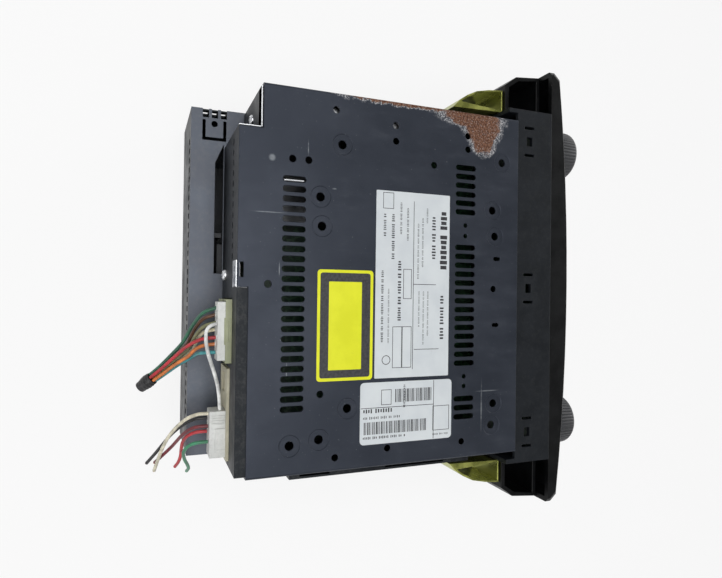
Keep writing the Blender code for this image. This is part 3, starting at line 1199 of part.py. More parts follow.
def pin_place(index):
    """Where a power wire leaves the plug, counted from its left end, the upper row first."""
    steps = (len(POWER_WIRES) - 1) / 2 - index
    plug_middle = POWER_TOP - PLUG_MARGIN - POWER_PLUG_HEIGHT / 2
    return POWER_X + PIN_SHIFT + steps * PIN_PITCH, plug_middle + (-1) ** index * PIN_ROW_RISE


def loom_wire_route(x, z, offset):
    """A power wire: straight out of the plug, in one bend into the loom, and along it to the tape."""
    direction = (Vector(LOOM_ROUTE[-1]) - Vector(LOOM_ROUTE[-2])).normalized()
    across = direction.cross(Vector((0, 0, 1))).normalized()
    shift = across * offset[0] + across.cross(direction) * offset[1]
    gathered = [Vector(point) + shift * share for point, share in zip(LOOM_ROUTE, LOOM_SPREAD_SHARES)]
    start, end = Vector((x, POWER_EXIT_Y, z)), gathered[0]
    lead_out = start + Vector((0, LEAD_OUT, 0))
    lead_in = end - (Vector(LOOM_ROUTE[1]) - Vector(LOOM_ROUTE[0])).normalized() * LEAD_IN
    route = [start]
    for step in range(1, LEAD_STEPS):
        t = step / LEAD_STEPS
        first, last = start.lerp(lead_out, t), lead_in.lerp(end, t)
        middle = lead_out.lerp(lead_in, t)
        route.append(first.lerp(middle, t).lerp(middle.lerp(last, t), t))
    return route + gathered


def make_wires():
    for index, (name, place, colour) in enumerate(POWER_WIRES):
        make_wire(name, loom_wire_route(*pin_place(index), loom_offset(place)), colour)
    for name, colour, route in ACCESSORY_WIRES:
        make_wire(name, route, colour)
    make_wire("jumper_white", JUMPER_ROUTE, WHITE_LOOK[0])


def make_tape():
    """The tape round the loom's cut ends."""
    start, end = Vector(LOOM_ROUTE[-2]), Vector(LOOM_ROUTE[-1])
    direction = (end - start).normalized()
    profile = [(along * TAPE_LENGTH, share * TAPE_RADIUS) for along, share in TAPE_SHARES]
    made = turned("loom_tape", "Z", (0, 0), profile, TAPE_LOOK, PIN_SIDES)
    made.location = end + direction * GAP
    made.rotation_euler = direction.to_track_quat("Z", "Y").to_euler()


def build():
    clear_scene()
    make_lower_case()
    make_deck_plate()
    make_upper_case()
    make_top_cover()
    make_side_bracket("side_bracket_left", 1)
    make_side_bracket("side_bracket_right", -1)
    make_fascia_skirt()
    make_fascia_panel()
    make_front_board()
    make_display()
    for key in keys():
        make_key(*key)
    make_knob("tuning", 1)
    make_knob("volume", -1)
    for side, word in ((1, "left"), (-1, "right")):
        make_wing("wing_" + word, side)
        make_clip("clip_" + word, side)
    make_main_board()
    make_amplifier()
    make_board_parts()
    make_connectors()
    make_mech_plate()
    make_spindle()
    make_sled()
    make_rails()
    make_loading_roller()
    make_clamp_arm()
    make_wires()
    make_tape()


build()
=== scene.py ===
"""Looks of the car head unit: camera, cords, studio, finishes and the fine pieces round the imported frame."""

import json
from math import cos, pi, radians, sin

import bmesh
import bpy
from mathutils import Matrix, Vector


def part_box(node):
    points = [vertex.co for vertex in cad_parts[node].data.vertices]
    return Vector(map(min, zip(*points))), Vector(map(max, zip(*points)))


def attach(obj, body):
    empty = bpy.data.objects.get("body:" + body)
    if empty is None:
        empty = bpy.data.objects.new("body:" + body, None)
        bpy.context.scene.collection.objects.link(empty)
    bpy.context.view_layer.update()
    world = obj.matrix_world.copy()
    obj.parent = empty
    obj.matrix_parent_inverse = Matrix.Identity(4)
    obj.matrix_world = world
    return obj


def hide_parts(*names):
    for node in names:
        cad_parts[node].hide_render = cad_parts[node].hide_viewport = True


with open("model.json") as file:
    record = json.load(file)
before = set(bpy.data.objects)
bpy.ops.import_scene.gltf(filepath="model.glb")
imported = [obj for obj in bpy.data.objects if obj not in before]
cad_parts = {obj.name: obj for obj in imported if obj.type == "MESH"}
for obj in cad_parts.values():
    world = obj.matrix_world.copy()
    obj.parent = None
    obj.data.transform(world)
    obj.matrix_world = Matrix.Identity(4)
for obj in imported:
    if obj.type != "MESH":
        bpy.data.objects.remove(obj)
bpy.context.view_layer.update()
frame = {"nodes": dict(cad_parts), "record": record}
nodes = frame["nodes"]
BODY = "chassis"
MM = 0.001

# The camera stands where the photograph was taken: focal length in pixels of a frame 722 wide
FRAME_WIDTH_PX = 722
FOCAL_PX = 560.342
SENSOR_MM = 36.0
CLIP_START, CLIP_END = 0.01, 50.0
CAMERA_PLACE = Vector((-0.00581, 0.11431, 0.35188))
CAMERA_RIGHT = Vector((0.0128, -0.9313, 0.3641))
CAMERA_UP = Vector((0.9999, 0.0153, 0.0039))
CAMERA_BACK = Vector((-0.0092, 0.3640, 0.9313))


def make_camera():
    camera = bpy.data.cameras.new("camera")
    camera.sensor_width = SENSOR_MM
    camera.lens = FOCAL_PX * SENSOR_MM / FRAME_WIDTH_PX
    camera.clip_start, camera.clip_end = CLIP_START, CLIP_END
    made = bpy.data.objects.new("camera", camera)
    bpy.context.scene.collection.objects.link(made)
    turn = Matrix((CAMERA_RIGHT, CAMERA_UP, CAMERA_BACK)).transposed()
    made.matrix_world = Matrix.Translation(CAMERA_PLACE) @ turn.to_4x4()
    bpy.context.scene.camera = made


# Node helpers: a value that is a socket is linked, and any other is set
def node(tree, kind, settings=(), inputs=()):
    made = tree.nodes.new("ShaderNode" + kind)
    for key, value in dict(settings).items():
        setattr(made, key, value)
    for key, value in dict(inputs).items():
        if isinstance(value, bpy.types.NodeSocket):
            tree.links.new(value, made.inputs[key])
        else:
            made.inputs[key].default_value = value
    return made


def noise(tree, place, scale, detail=3.0, rough=0.55, warp=0.0):
    inputs = {"Vector": place, "Scale": scale, "Detail": detail, "Roughness": rough, "Distortion": warp}
    return node(tree, "TexNoise", inputs=inputs).outputs["Fac"]


def ramp(tree, value, low, high, to_low=0.0, to_high=1.0):
    inputs = {"Value": value, "From Min": low, "From Max": high, "To Min": to_low, "To Max": to_high}
    return node(tree, "MapRange", {"interpolation_type": "SMOOTHSTEP"}, inputs).outputs["Result"]


def math_node(tree, operation, first, second=0.0):
    return node(tree, "Math", {"operation": operation}, {0: first, 1: second}).outputs[0]


def mix(tree, share, first, second):
    first, second = ((*c, 1) if isinstance(c, tuple) else c for c in (first, second))
    made = node(tree, "Mix", {"data_type": "RGBA"}, {0: share, 6: first, 7: second})
    return made.outputs[2]


def vector_node(tree, operation, first, second):
    return node(tree, "VectorMath", {"operation": operation}, {0: first, 1: second}).outputs[0]


def scaled(tree, place, scale):
    return vector_node(tree, "MULTIPLY", place, scale)


def start_material(name, metallic=0.0, specular=0.5):
    """A material with its Principled shader and the place on the object that its patterns follow."""
    made = bpy.data.materials.new(name)
    made.use_nodes = True
    tree = made.node_tree
    shader = tree.nodes["Principled BSDF"]
    shader.inputs["Metallic"].default_value = metallic
    shader.inputs["Specular IOR Level"].default_value = specular
    return made, tree, shader, node(tree, "TexCoord").outputs["Object"]


def add_bump(tree, shader, heights, strength=0.5):
    """Bump from a list of (height from 0 to 1, its depth in metres)."""
    normal = None
    for height, depth in heights:
        inputs = {"Strength": strength, "Distance": depth, "Height": height}
        if normal is not None:
            inputs["Normal"] = normal
        normal = node(tree, "Bump", inputs=inputs).outputs["Normal"]
    tree.links.new(normal, shader.inputs["Normal"])


DUST_COLOUR = (0.20, 0.20, 0.19)


def finish_of(name, dark, light, rough, metallic=0.0, specular=0.5, cloud=90.0, grain=2600.0, depth=0.00006,
              dust=0.0, stretch=(1.0, 1.0, 1.0)):
    """A plain finish: two tones in soft clouds, a fine grain, uneven gloss and settled dust."""
    made, tree, shader, place = start_material(name, metallic, specular)
    run = scaled(tree, place, stretch)
    clouds = noise(tree, run, cloud)
    fine = noise(tree, run, grain, 2.0)
    colour = mix(tree, ramp(tree, clouds, 0.35, 0.68), dark, light)
    colour = mix(tree, ramp(tree, fine, 0.35, 0.75, 0.0, 0.22), colour, light)
    roughness = ramp(tree, clouds, 0.3, 0.7, *rough)
    if dust:
        up = node(tree, "NewGeometry").outputs["Normal"]
        level = node(tree, "SeparateXYZ", inputs={0: up}).outputs["Z"]
        specks = ramp(tree, noise(tree, place, cloud * 6, 5.0, 0.7), 0.44, 0.70, 0.0, dust)
        settled = math_node(tree, "MULTIPLY", specks, ramp(tree, level, 0.2, 0.9, 0.25, 1.0))
        colour = mix(tree, settled, colour, DUST_COLOUR)
    tree.links.new(colour, shader.inputs["Base Color"])
    tree.links.new(roughness, shader.inputs["Roughness"])
    add_bump(tree, shader, ((fine, depth), (clouds, depth * 2)))
    return made


def patch_field(tree, place, centre, radii):
    """A field that is 0 at a patch's centre and 1 at its edge."""
    shifted = vector_node(tree, "SUBTRACT", place, centre)
    share = scaled(tree, shifted, tuple(1 / radius for radius in radii))
    return node(tree, "VectorMath", {"operation": "LENGTH"}, {0: share}).outputs["Value"]


def warped(tree, place, scale, amount):
    """The place moved about by noise, so that a patch's edge is ragged."""
    inputs = {"Vector": place, "Scale": scale, "Detail": 5.0, "Roughness": 0.65}
    wander = node(tree, "TexNoise", inputs=inputs).outputs["Color"]
    inputs = {0: vector_node(tree, "SUBTRACT", wander, (0.5,) * 3), 1: (amount,) * 3, 2: place}
    return node(tree, "VectorMath", {"operation": "MULTIPLY_ADD"}, inputs).outputs[0]


# Rust on the cover's left edge and front left corner, as (centre, radii) in metres
RUST_PATCHES = (
    ((0.0905, -0.0065, 0.1), (0.0026, 0.0330, 0.02)),
    ((0.0875, -0.0460, 0.1), (0.0050, 0.0180, 0.02)),
    ((0.0825, -0.0520, 0.1), (0.0085, 0.0105, 0.02)),
    ((0.0760, -0.0525, 0.1), (0.0072, 0.0070, 0.02)),
)

# Scuffs and scratches on the cover, as (centre, radii, turn in degrees)
COVER_SCRATCHES = (
    ((0.0620, 0.0430, 0.1), (0.0045, 0.0003), 24),
    ((0.0310, 0.0610, 0.1), (0.0003, 0.0090), -5),
    ((0.0050, 0.0560, 0.1), (0.0040, 0.0003), 12),
    ((0.0440, 0.0300, 0.1), (0.0005, 0.0014), 40),
    ((-0.0420, 0.0520, 0.1), (0.0060, 0.0003), 65),
    ((-0.0560, -0.0560, 0.1), (0.0004, 0.0080), 8),
    ((-0.0640, -0.0530, 0.1), (0.0150, 0.0005), 4),
    ((0.0560, 0.0600, 0.1), (0.0018, 0.0018), 0),
)


def cover_look():
    """Blue-grey painted steel with rust at one corner, scratches, handling marks and dust."""
    made, tree, shader, place = start_material("cover_paint", 0.55, 0.35)
    clouds = noise(tree, place, 22.0, 4.0)
    fine = noise(tree, place, 3200.0, 2.0)
    smears = noise(tree, scaled(tree, place, (1.0, 0.35, 1.0)), 160.0, 5.0, 0.62)
    colour = mix(tree, ramp(tree, clouds, 0.32, 0.70), (0.030, 0.036, 0.050), (0.043, 0.050, 0.067))
    colour = mix(tree, ramp(tree, smears, 0.54, 0.80, 0.0, 0.24), colour, (0.085, 0.093, 0.112))
    specks = ramp(tree, noise(tree, place, 900.0, 2.0, 0.5), 0.70, 0.78, 0.0, 0.40)
    colour = mix(tree, specks, colour, (0.19, 0.20, 0.21))
    for centre, radii, turn in COVER_SCRATCHES:
        shifted = vector_node(tree, "SUBTRACT", place, centre)
        share = (1 / radii[0], 1 / radii[1], 1)
        inputs = {"Vector": shifted, "Rotation": (0, 0, radians(turn)), "Scale": share}
        turned_place = node(tree, "Mapping", inputs=inputs).outputs[0]
        field = node(tree, "VectorMath", {"operation": "LENGTH"}, {0: turned_place}).outputs["Value"]
        rubbed = math_node(tree, "MULTIPLY", ramp(tree, field, 0.4, 1.1, 0.75, 0.0),
                           ramp(tree, smears, 0.35, 0.60, 0.15, 1.0))
        colour = mix(tree, rubbed, colour, (0.24, 0.26, 0.28))
    ragged = warped(tree, place, 260.0, 0.0065)
    field = None
    for centre, radii in RUST_PATCHES:
        one = patch_field(tree, ragged, centre, radii)
        field = one if field is None else math_node(tree, "MINIMUM", field, one)
    rust = ramp(tree, field, 0.86, 1.02, 1.0, 0.0)
    rim = math_node(tree, "MULTIPLY", ramp(tree, field, 1.02, 1.34, 1.0, 0.0),
                    ramp(tree, noise(tree, place, 1300.0, 3.0), 0.46, 0.58, 0.1, 1.0))
    blisters = noise(tree, place, 950.0, 4.0, 0.7)
    rust_colour = mix(tree, ramp(tree, blisters, 0.40, 0.62), (0.072, 0.026, 0.014), (0.215, 0.105, 0.062))
    pale = ramp(tree, noise(tree, place, 1500.0, 2.0), 0.56, 0.66, 0.0, 0.75)
    rust_colour = mix(tree, pale, rust_colour, (0.36, 0.29, 0.26))
    colour = mix(tree, rim, colour, (0.42, 0.42, 0.43))
    colour = mix(tree, rust, colour, rust_colour)
    tree.links.new(colour, shader.inputs["Base Color"])
    worn = math_node(tree, "MAXIMUM", rust, rim)
    gloss = ramp(tree, smears, 0.35, 0.75, 0.40, 0.52)
    roughness = math_node(tree, "MAXIMUM", gloss, math_node(tree, "MULTIPLY", worn, 0.9))
    tree.links.new(roughness, shader.inputs["Roughness"])
    tree.links.new(ramp(tree, worn, 0.0, 1.0, 0.55, 0.0), shader.inputs["Metallic"])
    raised = math_node(tree, "MULTIPLY", worn, blisters)
    add_bump(tree, shader, ((fine, 0.00004), (smears, 0.00006), (raised, 0.0006)))
    return made


def wire_look(name, colour):
    """Soft vinyl with a slight haze and a few smudges."""
    light = tuple(min(1.0, channel * 1.25 + 0.006) for channel in colour)
    dark = tuple(channel * 0.72 for channel in colour)
    return finish_of(name, dark, light, (0.34, 0.52), 0.0, 0.5, 240.0, 3000.0, 0.00003, 0.10)


def board_look():
    """Green board with etched tracks under the mask."""
    made, tree, shader, place = start_material("circuit_board")
    cells = node(tree, "TexVoronoi", {"feature": "DISTANCE_TO_EDGE"}, {"Vector": place, "Scale": 190.0})
    tracks = ramp(tree, cells.outputs["Distance"], 0.06, 0.10)
    clouds = noise(tree, place, 60.0)
    colour = mix(tree, tracks, (0.020, 0.060, 0.028), (0.006, 0.026, 0.013))
    colour = mix(tree, ramp(tree, clouds, 0.5, 0.8, 0.0, 0.3), colour, (0.030, 0.036, 0.022))
    tree.links.new(colour, shader.inputs["Base Color"])
    tree.links.new(ramp(tree, clouds, 0.3, 0.7, 0.30, 0.50), shader.inputs["Roughness"])
    add_bump(tree, shader, ((tracks, 0.00008), (noise(tree, place, 2500.0), 0.00003)))
    return made


def label_look(name, base, tint):
    """Matt sticker film with a fine print screen, slight yellowing and darker smudges."""
    made, tree, shader, place = start_material(name, 0.0, 0.4)
    clouds = noise(tree, place, 70.0, 4.0)
    fine = noise(tree, place, 5200.0, 2.0)
    marks = noise(tree, place, 420.0, 5.0, 0.7)
    colour = mix(tree, ramp(tree, clouds, 0.3, 0.7), base, tint)
    colour = mix(tree, ramp(tree, marks, 0.60, 0.80, 0.0, 0.28), colour, tuple(0.55 * c for c in base))
    tree.links.new(colour, shader.inputs["Base Color"])
    tree.links.new(ramp(tree, marks, 0.3, 0.7, 0.34, 0.50), shader.inputs["Roughness"])
    add_bump(tree, shader, ((fine, 0.00001), (clouds, 0.00005)))
    return made


# Plain finishes, each with the values of finish_of in their order: dark and light tone, roughness range,
# metallic, specular, cloud and grain scale, bump depth, dust and stretch
PLAIN_FINISHES = {
    "ledge_paint": ((0.070, 0.080, 0.100), (0.095, 0.104, 0.126), (0.36, 0.50), 0.5, 0.4, 60.0, 3000.0,
                    0.00004, 0.12),
    "case_paint": ((0.010, 0.012, 0.015), (0.020, 0.023, 0.027), (0.40, 0.58), 0.5, 0.3, 70.0, 2800.0,
                   0.00005, 0.12),
    "fascia_plastic": ((0.0022, 0.0025, 0.0028), (0.0042, 0.0046, 0.0052), (0.36, 0.52), 0.0, 0.16, 80.0,
                       2300.0, 0.00008, 0.01),
    "skirt_plastic": ((0.0060, 0.0078, 0.0105), (0.0090, 0.0112, 0.0148), (0.46, 0.62), 0.0, 0.20, 80.0,
                      1900.0, 0.00010, 0.03),
    "key_plastic": ((0.016, 0.017, 0.020), (0.024, 0.025, 0.029), (0.38, 0.52), 0.0, 0.45, 120.0, 3400.0,
                    0.00005, 0.06),
    "plated_spring": ((0.29, 0.31, 0.075), (0.50, 0.52, 0.14), (0.24, 0.42), 0.8, 0.5, 130.0, 2000.0,
                      0.00003, 0.0, (1.0, 1.0, 0.2)),
    "bright_steel": ((0.50, 0.51, 0.53), (0.66, 0.67, 0.69), (0.20, 0.38), 1.0, 0.5, 200.0, 2600.0,
                     0.00002, 0.0, (1.0, 0.15, 1.0)),
    "sink_aluminium": ((0.48, 0.49, 0.51), (0.62, 0.63, 0.65), (0.32, 0.50), 1.0, 0.5, 120.0, 2600.0,
                       0.00003, 0.0, (1.0, 1.0, 0.15)),
    "chip_black": ((0.010, 0.010, 0.011), (0.018, 0.018, 0.020), (0.50, 0.66)),
    "lens_plastic": ((0.006, 0.008, 0.010), (0.008, 0.011, 0.013), (0.05, 0.12), 0.0, 0.5, 60.0, 1500.0,
                     0.000004),
    "socket_olive": ((0.27, 0.29, 0.17), (0.36, 0.38, 0.24), (0.40, 0.56), 0.0, 0.5, 90.0,
                     2000.0, 0.00006, 0.14),
    "socket_beige": ((0.46, 0.43, 0.31), (0.57, 0.54, 0.41), (0.40, 0.56), 0.0, 0.5, 90.0,
                     2000.0, 0.00006, 0.14),
    "plug_white": ((0.58, 0.59, 0.57), (0.72, 0.73, 0.71), (0.34, 0.50), 0.0, 0.5, 90.0,
                   2000.0, 0.00006, 0.16),
    "roller_rubber": ((0.014, 0.014, 0.016), (0.026, 0.026, 0.028), (0.68, 0.86)),
    "tape_black": ((0.007, 0.007, 0.008), (0.014, 0.014, 0.016), (0.30, 0.52), 0.0, 0.5, 300.0, 2600.0,
                   0.00006, 0.08),
    "copper_core": ((0.52, 0.24, 0.13), (0.70, 0.36, 0.20), (0.28, 0.45), 1.0),
    # The next three are far darker than bare metal: painted shade for the pieces inside the case
    "dull_steel": ((0.030, 0.031, 0.034), (0.055, 0.057, 0.060), (0.42, 0.60), 0.8),
    "dull_tin": ((0.060, 0.062, 0.066), (0.120, 0.124, 0.130), (0.30, 0.48), 0.9),
    "dark_sink": ((0.030, 0.030, 0.033), (0.060, 0.060, 0.064), (0.40, 0.55), 0.8),
    "legend_ink": ((0.55, 0.57, 0.58), (0.68, 0.70, 0.70), (0.35, 0.5), 0.0, 0.5, 500.0),
    "print_ink": ((0.018, 0.018, 0.022), (0.045, 0.045, 0.050), (0.40, 0.55), 0.0, 0.5, 800.0),
}


def make_looks():
    """Every finish but the wires', by its name, which for a slot of the record is the slot's."""
    made = {"cover_paint": cover_look(), "circuit_board": board_look()}
    made["white_film"] = label_look("white_film", (0.62, 0.66, 0.69), (0.69, 0.73, 0.75))
    made["yellow_film"] = label_look("yellow_film", (0.74, 0.76, 0.010), (0.82, 0.84, 0.020))
    for name, values in PLAIN_FINISHES.items():
        made[name] = finish_of(name, *values)
    return made


# Wires: their routes repeat the frame's own, in metres
WIRE_RADIUS = 0.00085
WIRE_BEVEL_STEPS = 4
REAR_Y = 0.075
POWER_EXIT_Y = REAR_Y + 0.0063 + 0.0003
ACCESSORY_EXIT_Y = REAR_Y + 0.0085 + 0.0003
POWER_X = -0.0240
POWER_TOP = 0.0860
PIN_PITCH = 0.0035
PIN_SHIFT = 0.0005
PIN_ROW_RISE = 0.0020
PLUG_MIDDLE_DROP = 0.0065
LOOM_PITCH = 0.00205
LOOM_RING = 6
LEAD_OUT = 0.0090
LEAD_IN = 0.0040
LEAD_STEPS = 4
CURVE_STEPS = 12
WIRE_STEP = 0.0010
LOOM_ROUTE = ((-0.0345, 0.0935, 0.0660), (-0.0400, 0.0990, 0.0590), (-0.0450, 0.1040, 0.0545),
              (-0.0490, 0.1085, 0.0515))
LOOM_SPREAD_SHARES = (2.0, 1.45, 1.15, 1.0)
POWER_WIRES = (
    ("wire_green", 1, "dark_green_vinyl", (0.020, 0.110, 0.060)),
    ("wire_brown", 6, "brown_vinyl", (0.110, 0.045, 0.020)),
    ("wire_olive", 0, "olive_vinyl", (0.180, 0.180, 0.090)),
    ("wire_cream", 5, "cream_vinyl", (0.650, 0.600, 0.420)),
    ("wire_red", 2, "red_vinyl", (0.450, 0.020, 0.030)),
    ("wire_orange", 3, "orange_vinyl", (0.650, 0.190, 0.040)),
    ("wire_teal", 4, "teal_vinyl", (0.050, 0.280, 0.300)),
)
ACCESSORY_WIRES = (
    ("stub_cream", "cream_vinyl", (0.680, 0.640, 0.500),
     ((-0.0640, ACCESSORY_EXIT_Y, 0.0745), (-0.0642, 0.0886, 0.0742), (-0.0662, 0.0928, 0.0716),
      (-0.0704, 0.0968, 0.0666), (-0.0764, 0.1006, 0.0608), (-0.0824, 0.1032, 0.0568),
      (-0.0888, 0.1052, 0.0534), (-0.0966, 0.1072, 0.0490))),
    ("stub_black", "black_vinyl", (0.010, 0.010, 0.012),
     ((-0.0670, ACCESSORY_EXIT_Y, 0.0700), (-0.0672, 0.0886, 0.0697), (-0.0692, 0.0928, 0.0670),
      (-0.0730, 0.0966, 0.0616), (-0.0776, 0.1000, 0.0560), (-0.0822, 0.1030, 0.0524),
      (-0.0878, 0.1066, 0.0486), (-0.0940, 0.1108, 0.0436))),
    ("stub_dark_red", "dark_red_vinyl", (0.160, 0.012, 0.020),
     ((-0.0700, ACCESSORY_EXIT_Y, 0.0745), (-0.0702, 0.0888, 0.0741), (-0.0720, 0.0926, 0.0716),
      (-0.0754, 0.0952, 0.0668), (-0.0794, 0.0972, 0.0610), (-0.0834, 0.0994, 0.0560),
      (-0.0878, 0.1028, 0.0520), (-0.0928, 0.1070, 0.0480))),
    ("stub_red", "red_vinyl", (0.500, 0.030, 0.040),
     ((-0.0735, ACCESSORY_EXIT_Y, 0.0700), (-0.0737, 0.0888, 0.0697), (-0.0756, 0.0926, 0.0676),
      (-0.0794, 0.0944, 0.0632), (-0.0842, 0.0948, 0.0578), (-0.0890, 0.0948, 0.0532),
      (-0.0932, 0.0956, 0.0494), (-0.0965, 0.0970, 0.0455))),
    ("stub_green", "green_vinyl", (0.040, 0.220, 0.110),
     ((-0.0775, ACCESSORY_EXIT_Y, 0.0745), (-0.0777, 0.0888, 0.0742), (-0.0794, 0.0926, 0.0724),
      (-0.0832, 0.0944, 0.0686), (-0.0880, 0.0936, 0.0632), (-0.0924, 0.0918, 0.0578),
      (-0.0960, 0.0908, 0.0524), (-0.0990, 0.0912, 0.0465))),
)
JUMPER_ROUTE = ((-0.0205, POWER_EXIT_Y, 0.0838), (-0.0210, 0.0835, 0.0838), (-0.0221, 0.0852, 0.0839),
                (-0.0238, 0.0862, 0.0839), (-0.0260, 0.0864, 0.0840), (-0.0296, 0.0862, 0.0841),
                (-0.0342, 0.0853, 0.0841), (-0.0390, 0.0838, 0.0836), (-0.0442, 0.0820, 0.0820),
                (-0.0500, 0.0803, 0.0798), (-0.0560, 0.0792, 0.0776), (-0.0623, 0.0786, 0.0756))
JUMPER_COLOUR = (0.720, 0.730, 0.720)


def smooth_curve(route):
    """Points on a smooth curve that passes through each point of a route."""
    points = [Vector(point) for point in route]
    points = [2 * points[0] - points[1], *points, 2 * points[-1] - points[-2]]
    curve = []
    for a, b, c, d in zip(points, points[1:], points[2:], points[3:]):
        for index in range(CURVE_STEPS):
            t = index / CURVE_STEPS
            bend = (2 * a - 5 * b + 4 * c - d) * t * t + (3 * b - a - 3 * c + d) * t * t * t
            curve.append((2 * b + (c - a) * t + bend) / 2)
    curve.append(points[-2])
    return curve


def spaced(curve, spacing):
    """The same curve with evenly spaced points."""
    lengths = [0.0]
    for a, b in zip(curve, curve[1:]):
        lengths.append(lengths[-1] + (b - a).length)
    count = max(2, round(lengths[-1] / spacing))
    result, index = [], 0
    for step in range(count + 1):
        want = lengths[-1] * step / count
        while index < len(curve) - 2 and lengths[index + 1] < want:
            index += 1
        share = (want - lengths[index]) / (lengths[index + 1] - lengths[index])
        result.append(curve[index].lerp(curve[index + 1], min(share, 1.0)))
    return result


def loom_offset(place):
    """Where a wire lies across the loom: place 0 is its middle, and the others stand round it."""
    if place == 0:
        return 0.0, 0.0
    turn = 2 * pi * (place - 1) / LOOM_RING
    return LOOM_PITCH * cos(turn), LOOM_PITCH * sin(turn)


def pin_place(index):
    """Where a power wire leaves the plug, counted from its left end, the upper row first."""
    steps = (len(POWER_WIRES) - 1) / 2 - index
    middle = POWER_TOP - PLUG_MIDDLE_DROP
    return POWER_X + PIN_SHIFT + steps * PIN_PITCH, middle + (-1) ** index * PIN_ROW_RISE


def loom_wire_route(x, z, offset):
    """A power wire: straight out of the plug, in one bend into the loom, and along it to the tape."""
    direction = (Vector(LOOM_ROUTE[-1]) - Vector(LOOM_ROUTE[-2])).normalized()
    across = direction.cross(Vector((0, 0, 1))).normalized()
    shift = across * offset[0] + across.cross(direction) * offset[1]
    gathered = [Vector(point) + shift * share for point, share in zip(LOOM_ROUTE, LOOM_SPREAD_SHARES)]
    start, end = Vector((x, POWER_EXIT_Y, z)), gathered[0]
    lead_out = start + Vector((0, LEAD_OUT, 0))
    lead_in = end - (Vector(LOOM_ROUTE[1]) - Vector(LOOM_ROUTE[0])).normalized() * LEAD_IN
    route = [start]
    for step in range(1, LEAD_STEPS):
        t = step / LEAD_STEPS
        first, last = start.lerp(lead_out, t), lead_in.lerp(end, t)
        middle = lead_out.lerp(lead_in, t)
        route.append(first.lerp(middle, t).lerp(middle.lerp(last, t), t))
    return route + gathered


def wire_curve(name, route, radius):
    curve = bpy.data.curves.new(name, "CURVE")
    curve.dimensions = "3D"
    curve.bevel_depth = radius
    curve.bevel_resolution = WIRE_BEVEL_STEPS
    curve.use_fill_caps = True
    line = curve.splines.new("POLY")
    points = spaced(smooth_curve(route), WIRE_STEP)
    line.points.add(len(points) - 1)
    for point, place in zip(line.points, points):
        point.co = (*place, 1)
    line.use_smooth = True
    made = bpy.data.objects.new(name, curve)
    bpy.context.scene.collection.objects.link(made)
    return made, sum((b - a).length for a, b in zip(points, points[1:]))


CORE_RADIUS = 0.00042
CORE_OUT = 0.0006
CORE_STRANDS = 6
CORE_LAY_SHARE = 0.68
STRAND_SIDES = 6


def cut_core(name, route):
    """The copper that shows at a wire's cut end: one strand in the middle and the others round it."""
    points = smooth_curve(route)
    end, direction = points[-1], (points[-1] - points[-2]).normalized()
    across = direction.orthogonal().normalized()
    shape = bmesh.new()
    for strand in range(CORE_STRANDS + 1):
        turn = 2 * pi * strand / CORE_STRANDS
        out = CORE_RADIUS * CORE_LAY_SHARE if strand < CORE_STRANDS else 0.0
        base = end + across * out * cos(turn) + direction.cross(across) * out * sin(turn)
        reach = CORE_OUT * (0.7 + 0.1 * strand)
        ends = [base - direction * CORE_OUT, base + direction * reach]
        add_tube(shape, ends, CORE_RADIUS / 3, STRAND_SIDES)
    return new_object(name, shape, looks["copper_core"], smooth_deg=50)


def make_wire(node_name, route, slot, colour):
    made, length = wire_curve("cord_" + node_name, route, WIRE_RADIUS)
    made.data.materials.append(wire_look("vinyl_" + node_name, colour))
    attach(made, BODY)
    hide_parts(node_name)
    tuple(route[0])
    return made


TAPE_RADIUS = 0.0036
TAPE_LENGTH = 0.0085
TAPE_TURNS = 5
TAPE_RINGS = 40
TAPE_SIDES = 24
TAPE_GAP = 0.0003


def make_wound_tape():
    """The tape wound round the loom's cut ends: overlapping turns with a ridge at each edge."""
    start, end = Vector(LOOM_ROUTE[-2]), Vector(LOOM_ROUTE[-1])
    direction = (end - start).normalized()
    across = direction.cross(Vector((0, 0, 1))).normalized()
    up = across.cross(direction)
    base = end + direction * TAPE_GAP
    rings = []
    for index in range(TAPE_RINGS + 1):
        along = index / TAPE_RINGS
        squeeze = 0.90 + 0.10 * sin(pi * min(1.0, along * 1.25)) - 0.10 * along ** 3
        ring = []
        for side in range(TAPE_SIDES):
            turn = 2 * pi * side / TAPE_SIDES
            step = (along * TAPE_TURNS - side / TAPE_SIDES) % 1.0
            ridge = 0.93 + 0.06 * step + 0.012 * sin(3 * turn + 5 * along)
            out = (across * cos(turn) + up * sin(turn)) * TAPE_RADIUS * squeeze * ridge
            ring.append(base + direction * along * TAPE_LENGTH + out)
        rings.append(ring)
    shape = bmesh.new()
    add_rings(shape, rings)
    made = new_object("loom_wound_tape", shape, looks["tape_black"], smooth_deg=40)
    carry(made, "tape_black", BODY, "loom_tape")
    return made


def make_cords():
    tape = make_wound_tape()
    for index, (name, place, slot, colour) in enumerate(POWER_WIRES):
        route = loom_wire_route(*pin_place(index), loom_offset(place))
        make_wire(name, route, slot, colour)
    for name, slot, colour, route in ACCESSORY_WIRES:
        core = cut_core("core_" + name, route)
        carry(core, "bright_steel", BODY)
        make_wire(name, route, slot, colour)
    make_wire("jumper_white", JUMPER_ROUTE, "white_vinyl", JUMPER_COLOUR)


# Mesh helpers
def new_object(name, shape, look, smooth_deg=30, bevel=0.0, segments=2):
    """Turn a bmesh into an object with smooth shading up to an angle, and optional softened edges."""
    bmesh.ops.recalc_face_normals(shape, faces=shape.faces)
    mesh = bpy.data.meshes.new(name)
    shape.to_mesh(mesh)
    shape.free()
    mesh.shade_smooth()
    mesh.set_sharp_from_angle(angle=radians(smooth_deg))
    made = bpy.data.objects.new(name, mesh)
    bpy.context.scene.collection.objects.link(made)
    mesh.materials.append(look)
    if bevel:
        soften(made, bevel, segments)
    return made


